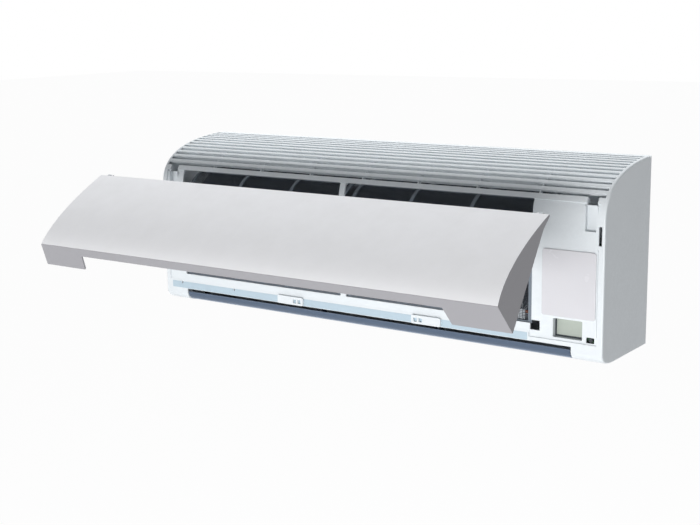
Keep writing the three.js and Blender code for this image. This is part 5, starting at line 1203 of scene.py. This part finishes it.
def dress_copy(node, name, body, material, slot, edge, segments=2):
    """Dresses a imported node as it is, with its edges rounded."""
    dress(soften(copy_of(node, name), edge, segments), body, material, slot, node)


grey_acetal = plastic("grey_acetal", "#c6cbcf", 0.42, grain=0.2, dust=0.15)
for side in ("left", "right"):
    bush = f"hinge_bush_{side}"
    dress_copy(bush, bush + "_turned", "hinge_bushes", grey_acetal, "pale_plastic", 0.4)

# ------------------------------------------------------------------ outlet vane
# A slate-blue blade that closes the air outlet, with a separate front strip snapped on along a
# seam. Its ears turn on pins in the chassis, and a small stepper motor turns its right-hand end.
VANE_HALF = 351.0
VANE_INSET = 0.6
VANE_THICKNESS = 2.5
VANE_TOP = 19.5
VANE_SEAM = 0.22                   # share of the underside's curve that the front strip covers
SEAM_GAP = 1.2

# Painted reflection: the blade gets a paler copy of the strip's slate, for light thrown up onto it
# from below.
slate, slate_painted_reflection = (
    plastic(name, colour, 0.34, grain=0.25, dust=0.18, wear=0.3, mottle=0.06, dust_colour="#7e838a")
    for name, colour in (("slate_vane_plastic", "#4a5a6f"), ("slate_painted_reflection_plastic", "#7888a0")))
seam = belly.length * VANE_SEAM
inner = VANE_INSET + VANE_THICKNESS
strip_outline = [(FRONT_Y + inner, VANE_TOP), (FRONT_Y + VANE_INSET, VANE_TOP)]
strip_outline += belly.band(0, seam - SEAM_GAP / 2, VANE_INSET, inner, 16)
strip = bar_along_x(strip_outline, -VANE_HALF, VANE_HALF, "vane_front_strip_skin")
dress(soften(strip, 0.5), "vane", slate, "slate_plastic", "vane_front_strip")

seam_groove = belly.band(seam - 1, seam + SEAM_GAP, -1, VANE_INSET + SEAM_GAP, 4)
vane = cut(copy_of("air_vane", "outlet_vane"),
           bar_along_x(seam_groove, -VANE_HALF - 1, VANE_HALF + 1))
dress(soften(vane, 0.3), "vane", slate_painted_reflection, "slate_plastic", "air_vane")
dress_copy("vane_motor", "vane_stepper_motor", "casing", zinc, "zinc_steel", 0.5)

# ------------------------------------------------------------------ deflector blades
# Ten upright dark blades behind the vane steer the air left and right. Each turns on a pin in the
# outlet's rear wall, and a bar links the five blades of a side.
for side in ("left", "right"):
    for i in range(1, 6):
        dress_copy(f"deflector_{side}_{i}", f"deflector_blade_{side}_{i}", f"deflector_{side}_{i}",
                   dark_plastic, "dark_plastic", 0.3)
    dress_copy(f"deflector_link_{side}", f"deflector_bar_{side}", f"link_{side}", dark_plastic,
               "dark_plastic", 0.35)

# ------------------------------------------------------------------ cross-flow fan
# A long wheel of thin forward-curved blades between rings, moulded in dark plastic in sections and
# welded end to end. It turns on a rubber-cushioned bearing at the left and the motor's shaft.
FAN_Y, FAN_Z = FRONT_Y + 83.0, 100.0
FAN_RADIUS, FAN_INNER = 42.0, 33.0
FAN_SECTIONS, FAN_BLADES = 8, 35
BLADE_CURVE = [(FAN_INNER, 0.0), (36.0, 3.4), (39.0, 8.2), (FAN_RADIUS - 0.4, 15.0)]
BLADE_HALF_ANGLE = 0.75            # half of a blade's thickness, in degrees about the axis
RING_THICKNESS = 1.6
HUB_RADIUS, HUB_THICKNESS = FAN_RADIUS - 2, 2.0
fan_low, fan_high = box_of("fan_wheel")
FAN_RIGHT = fan_high.x - 8.0
FAN_LEFT = FAN_RIGHT - 602.0


def fan_blade(half_length):
    """One blade as a thin crescent about the fan's axis, along X."""
    outline = []
    for sign, row in ((-1, BLADE_CURVE), (1, BLADE_CURVE[::-1])):
        for radius, angle in row:
            turn = math.radians(angle + sign * BLADE_HALF_ANGLE)
            outline.append((radius * math.cos(turn), radius * math.sin(turn)))
    return plain_bar("cross_flow_fan", outline, half_length)


def fan_tree():
    """Turns the blade round the axis, repeats the ring of blades, and puts a ring at each joint."""
    tree, given = geometry_tree("fan_wheel", [
        "Section Pitch", "First Section", "Ring Radius", "Ring Width", "Ring Thickness"],
        ["Blade Count", "Sections"])
    points = add(tree, "GeometryNodeMeshLine", {"mode": "OFFSET"},
                 {"Count": given["Blade Count"], "Offset": (0.0, 0.0, 0.0)}).outputs[0]
    index = add(tree, "GeometryNodeInputIndex").outputs[0]
    angle_step = calc(tree, "DIVIDE", 2 * math.pi, given["Blade Count"])
    turn = vector(tree, X=calc(tree, "MULTIPLY", index, angle_step))
    blades = copies_on(tree, points, given["Geometry"], turn)
    pitch, first = given["Section Pitch"], given["First Section"]
    sections = row_of(tree, blades, first, pitch, given["Sections"])
    ring_line = add(tree, "GeometryNodeCurvePrimitiveCircle", None,
                    {"Resolution": 64, "Radius": given["Ring Radius"]}).outputs[0]
    upright = add(tree, "GeometryNodeTransform", None,
                  {"Geometry": ring_line, "Rotation": (0.0, math.pi / 2, 0.0)}).outputs[0]
    ring = swept(tree, upright, (given["Ring Width"], given["Ring Thickness"]))
    ring_first = calc(tree, "ADD", first, calc(tree, "MULTIPLY", pitch, -0.5))
    rings = row_of(tree, ring, ring_first, pitch, calc(tree, "ADD", given["Sections"], 1.0))
    both = add(tree, "GeometryNodeJoinGeometry")
    for part in (sections, rings):
        tree.links.new(part, both.inputs[0])
    return end_tree(tree, both.outputs[0], dark_plastic)


section_pitch = (FAN_RIGHT - FAN_LEFT - RING_THICKNESS) / FAN_SECTIONS
fan = fan_blade(section_pitch / 2)
grow(fan, fan_tree(), {
    "Section Pitch": section_pitch,
    "First Section": FAN_LEFT + RING_THICKNESS / 2 + section_pitch / 2,
    "Ring Radius": (FAN_RADIUS + FAN_INNER - 3) / 2, "Ring Width": FAN_RADIUS - FAN_INNER + 2.4,
    "Ring Thickness": RING_THICKNESS}, {"Blade Count": FAN_BLADES, "Sections": FAN_SECTIONS})
fan.data.transform(Matrix.Translation(at(0, FAN_Y, FAN_Z)))


def on_axis(radius, x0, x1, sides=48):
    return rod_along_x(radius, x0, x1, FAN_Y, FAN_Z, sides)


hub = on_axis(HUB_RADIUS, FAN_RIGHT - HUB_THICKNESS, FAN_RIGHT)
join(hub, on_axis(12, FAN_RIGHT - 20, FAN_RIGHT + 8, 32),
     on_axis(HUB_RADIUS, FAN_LEFT, FAN_LEFT + HUB_THICKNESS),
     on_axis(4, fan_low.x, FAN_LEFT + 1, 24))
cut(hub, on_axis(4.3, FAN_RIGHT - 14, FAN_RIGHT + 20, 24))
hub.name = "fan_hubs"
soften(fan, 0)
soften(hub, 0.5)
dress(fan, "fan", dark_plastic, "dark_plastic", "fan_wheel")
dress(hub, "fan", dark_plastic, "dark_plastic")

# ------------------------------------------------------------------ fan bearing and motor
# A grey holder in the left side frame grips a rubber bearing. The motor at the right is cased in
# dark resin, and a steel strap holds it in the chassis's cradle.
rubber = plastic("bearing_rubber", "#242424", 0.82, grain=0.5, dust=0.3, wear=0.1, mottle=0.1,
                 dust_colour="#6b6a66")
for node, name, material, slot, edge in (
        ("bearing_holder", "bearing_holder_moulded", grey_acetal, "pale_plastic", 0.5),
        ("fan_bearing", "fan_bearing_cushion", rubber, "rubber", 0.4),
        ("fan_motor", "fan_motor_can", dark_plastic, "dark_plastic", 1.2),
        ("motor_clamp", "motor_strap", zinc, "zinc_steel", 0.3)):
    dress_copy(node, name, "casing", material, slot, edge, 3)

# ------------------------------------------------------------------ heat exchanger
# Three packs of thin aluminium fins on copper tubes bend round the fan. The tubes come through
# the end plates and are joined in pairs by soldered U-bends.
COIL_THICKNESS = 22.0
FIN_PITCH, FIN_THICKNESS = 1.8, 0.2
TUBE_PITCH, TUBE_RADIUS = 19.0, 3.5
BEND_LEG = 4.0
END_SHEET, LINK_WIDTH = 1.0, 12.0
COIL_FRONT = FRONT_Y + 22.7
PACKS = {                          # ends of the middle line, first tube from its start, tubes
    "front": ([(COIL_FRONT, 54.0), (COIL_FRONT, CASING_HEIGHT - 116)], 36.0, 4),
    "upper": ([(FRONT_Y + 24.5, CASING_HEIGHT - 103), (FRONT_Y + 75, CASING_HEIGHT - 70.5)],
              10.0, 3),
    "rear": ([(FRONT_Y + 89, CASING_HEIGHT - 74), (FRONT_Y + 128, CASING_HEIGHT - 115)], 8.0, 2),
}
aluminium = worn_metal("fin_aluminium", "#b3bac0", 0.45, 90.0, 4.0, dust=0.35)
copper = worn_metal("tube_copper", "#b87350", 0.36, 60.0, 0.4, dust=0.15)


def fins_tree():
    """Repeats the fin that it is given along X."""
    tree, given = geometry_tree("coil_fins", ["First Fin", "Fin Pitch"], ["Fin Count"])
    fins = row_of(tree, given["Geometry"], given["First Fin"], given["Fin Pitch"],
                  given["Fin Count"])
    return end_tree(tree, fins, aluminium)


def pack_outline(ends, thickness):
    a, b = Vector(ends[0]), Vector(ends[1])
    across = (b - a).normalized().orthogonal() * thickness / 2
    return [tuple(a + across), tuple(b + across), tuple(b - across), tuple(a - across)]


fin_tree = fins_tree()
for name, (ends, first_tube, tubes) in PACKS.items():
    low, high = box_of(f"coil_{name}")
    fins = bar_along_x(pack_outline(ends, COIL_THICKNESS), 0, FIN_THICKNESS, f"coil_fins_{name}")
    grow(fins, fin_tree, {"First Fin": low.x, "Fin Pitch": FIN_PITCH},
         {"Fin Count": int((high.x - low.x) / FIN_PITCH)})
    fins.data.shade_flat()
    dress(fins, "casing", aluminium, "fins", f"coil_{name}")


def tube_along(name, route, radius, sides=18):
    """A round tube through points close together, its ends closed."""
    solid = bmesh.new()
    rings = []
    side = None
    for i, point in enumerate(route):
        ahead = (route[min(i + 1, len(route) - 1)] - route[max(i - 1, 0)]).normalized()
        side = ahead.orthogonal() if side is None else side - ahead * side.dot(ahead)
        side.normalize()
        over = ahead.cross(side)
        ring = [side * math.cos(turn) + over * math.sin(turn)
                for turn in (2 * math.pi * k / sides for k in range(sides))]
        rings.append([solid.verts.new(point + out * radius * MM) for out in ring])
    for low, high in zip(rings, rings[1:]):
        for k in range(sides):
            solid.faces.new((low[k - 1], low[k], high[k], high[k - 1]))
    solid.faces.new(rings[0])
    solid.faces.new(rings[-1])
    return mesh_object(name, solid)


def on_pack(ends, distance):
    a, b = Vector(ends[0]), Vector(ends[1])
    return a + (b - a).normalized() * distance


def return_bend(x0, direction, first, second):
    """The points of a U-bend between two tubes."""
    radius = (second - first).length / 2
    middle = (first + second) / 2
    leg_end = x0 + direction * BEND_LEG
    points = [(x0, *first), (leg_end, *first)]
    for i in range(1, 16):
        turn = math.pi * i / 16
        where = middle + (first - middle) * math.cos(turn)
        points.append((leg_end + direction * radius * math.sin(turn), *where))
    return [at(*point) for point in points + [(leg_end, *second), (x0, *second)]]


def end_plate(name, plate_x):
    """The sheet that the tubes come through: a strip over each pack and two that link them."""
    packs = [ends for ends, _, _ in PACKS.values()]
    (_, front_top), (upper_start, upper_end), (rear_start, _) = packs
    outlines = [pack_outline(ends, COIL_THICKNESS) for ends in packs]
    outlines += [pack_outline([(a[0], a[1] - 4), (b[0], b[1] + 2)], LINK_WIDTH)
                 for a, b in ((front_top, upper_start), (upper_end, rear_start))]
    plate = join(*(bar_along_x(outline, plate_x, plate_x + END_SHEET) for outline in outlines))
    plate.name = name
    return soften(plate, 0.2, 1)


def return_bends(name, middle_x, direction, skipped):
    """The U-bends at one end, on pairs of tubes after those that are skipped."""
    bends = new_object(name, bpy.data.meshes.new(name))
    for ends, first_tube, tubes in PACKS.values():
        for pair in range((tubes - skipped) // 2):
            start = first_tube + TUBE_PITCH * (2 * pair + skipped)
            route = return_bend(middle_x, direction, on_pack(ends, start),
                                on_pack(ends, start + TUBE_PITCH))
            gather(bends, tube_along("bend", route, TUBE_RADIUS))
    return soften(bends, 0, angle=60)


for side, direction, skipped in (("left", -1, 0), ("right", 1, 1)):
    low, high = box_of(f"coil_end_{side}")
    plate_x = high.x - END_SHEET if side == "left" else low.x
    end = end_plate(f"coil_end_plate_{side}", plate_x)
    bends = return_bends(f"return_bends_{side}", plate_x + END_SHEET / 2, direction, skipped)
    dress(end, "casing", zinc, "zinc_steel", f"coil_end_{side}")
    dress(bends, "casing", copper, "copper")

# ------------------------------------------------------------------ refrigerant pipes
# Two copper pipes drop from the rear pack and run along the recess behind the chassis to their
# flare nuts, held by one clamp.
PIPE_BEND = 6.0
SIDE_FRAME_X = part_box("coil_end_right")[0].x / MM + 1.6
PIPES = (                          # kind, radius, start on the pack, y and z of its run, its end
    ("gas", 4.8, 50.0, -20.0, 19.0, SIDE_FRAME_X - 134),
    ("liquid", 3.2, 24.0, -38.0, 34.0, SIDE_FRAME_X - 106))
brass = worn_metal("nut_brass", "#c0a15a", 0.36, 70.0, 1.0, dust=0.12)


def rounded_route(corners, bend, steps=8):
    """Points through the corners, each corner rounded over the bend's length."""
    route = [corners[0]]
    for before, corner, after in zip(corners, corners[1:], corners[2:]):
        start = corner + (before - corner).normalized() * bend
        end = corner + (after - corner).normalized() * bend
        for share in (i / steps for i in range(steps + 1)):
            route.append(start.lerp(corner, share).lerp(corner.lerp(end, share), share))
    return route + [corners[-1]]


for kind, radius, start, lane, low, end in PIPES:
    y, z = on_pack(PACKS["rear"][0], start)
    drop = SIDE_FRAME_X + 9
    corners = [Vector(point) for point in (
        (SIDE_FRAME_X - 1.5, y, z), (drop, y, z), (drop, lane, z - 24), (drop, lane, low),
        (end, lane, low))]
    route = [at(*point) for point in rounded_route(corners, PIPE_BEND)]
    pipe = soften(tube_along(f"{kind}_pipe_copper", route, radius, 20), 0, angle=60)
    dress(pipe, "casing", copper, "copper", f"{kind}_pipe")
    dress_copy(f"flare_nut_{kind}", f"flare_nut_{kind}_turned", "casing", brass, "brass", 0.5)
dress_copy("pipe_clamp", "pipe_clamp_moulded", "casing", grey_acetal, "pale_plastic", 0.6)

# ------------------------------------------------------------------ chassis and drain pan
# The chassis is one large grey moulding: back wall, scroll behind the fan, side frames, motor
# cradle and the posts that carry the control box. The drain pan under the front coil is another.
grey_chassis = plastic("grey_chassis_plastic", "#cbd1d5", 0.46, grain=0.4, dust=0.3)
for node, name, material, slot, edge in (
        ("rear_chassis", "chassis_moulding", grey_chassis, "pale_plastic", 0.3),
        ("drain_pan", "drain_pan_moulding", grey_chassis, "pale_plastic", 0.3),
        ("drain_plug", "drain_plug_rubber", rubber, "rubber", 0.4),
        ("coil_sensor", "coil_sensor_pocket", copper, "copper", 0.3),
        ("room_sensor", "room_sensor_bead", white_abs, "white_plastic", 0.6)):
    dress_copy(node, name, "casing", material, slot, edge)

# ------------------------------------------------------------------ wall mounting plate
# A pressed sheet of zinc-plated steel with folded rims, two hooks that carry the unit, screw holes,
# two windows and two long stiffening beads. It is screwed to the wall first.
BEAD_WIDTH, BEAD_DEPTH = 7.0, 0.5
BEAD_MARGIN = 45.0                 # from the plate's end to the end of a bead
BEAD_HEIGHTS = (0.23, 0.77)        # shares of the plate's height
plate_low, plate_high = box_of("mounting_plate")
bead_ends = plate_low.x + BEAD_MARGIN, plate_high.x - BEAD_MARGIN
bead_middles = [plate_low.z + (plate_high.z - plate_low.z) * share for share in BEAD_HEIGHTS]
wall_plate = cut(copy_of("mounting_plate", "wall_plate_pressing"), *(
    bar_along_y(rounded(*bead_ends, z - BEAD_WIDTH / 2, z + BEAD_WIDTH / 2, BEAD_WIDTH / 2 - 0.1),
                -BEAD_DEPTH, 1) for z in bead_middles))
dress(soften(wall_plate, 0.25), "casing", zinc, "zinc_steel", "mounting_plate")

# ------------------------------------------------------------------ control box
# A dark tray behind the terminal cover holds the green circuit board with its relay, capacitor and
# transformer, and the terminal block for the wires.
board_green = plastic("board_laminate", "#3c6a49", 0.42, grain=0.2, wear=0.1, mottle=0.12)
for node, name, material, slot, edge in (
        ("control_box", "control_tray", dark_plastic, "dark_plastic", 0.5),
        ("control_board", "control_board_parts", board_green, "board", 0.4),
        ("terminal_block", "terminal_block_moulding", dark_plastic, "dark_plastic", 0.3),
        ("display_board", "display_board_parts", board_green, "board", 0.3)):
    dress_copy(node, name, "casing", material, slot, edge)
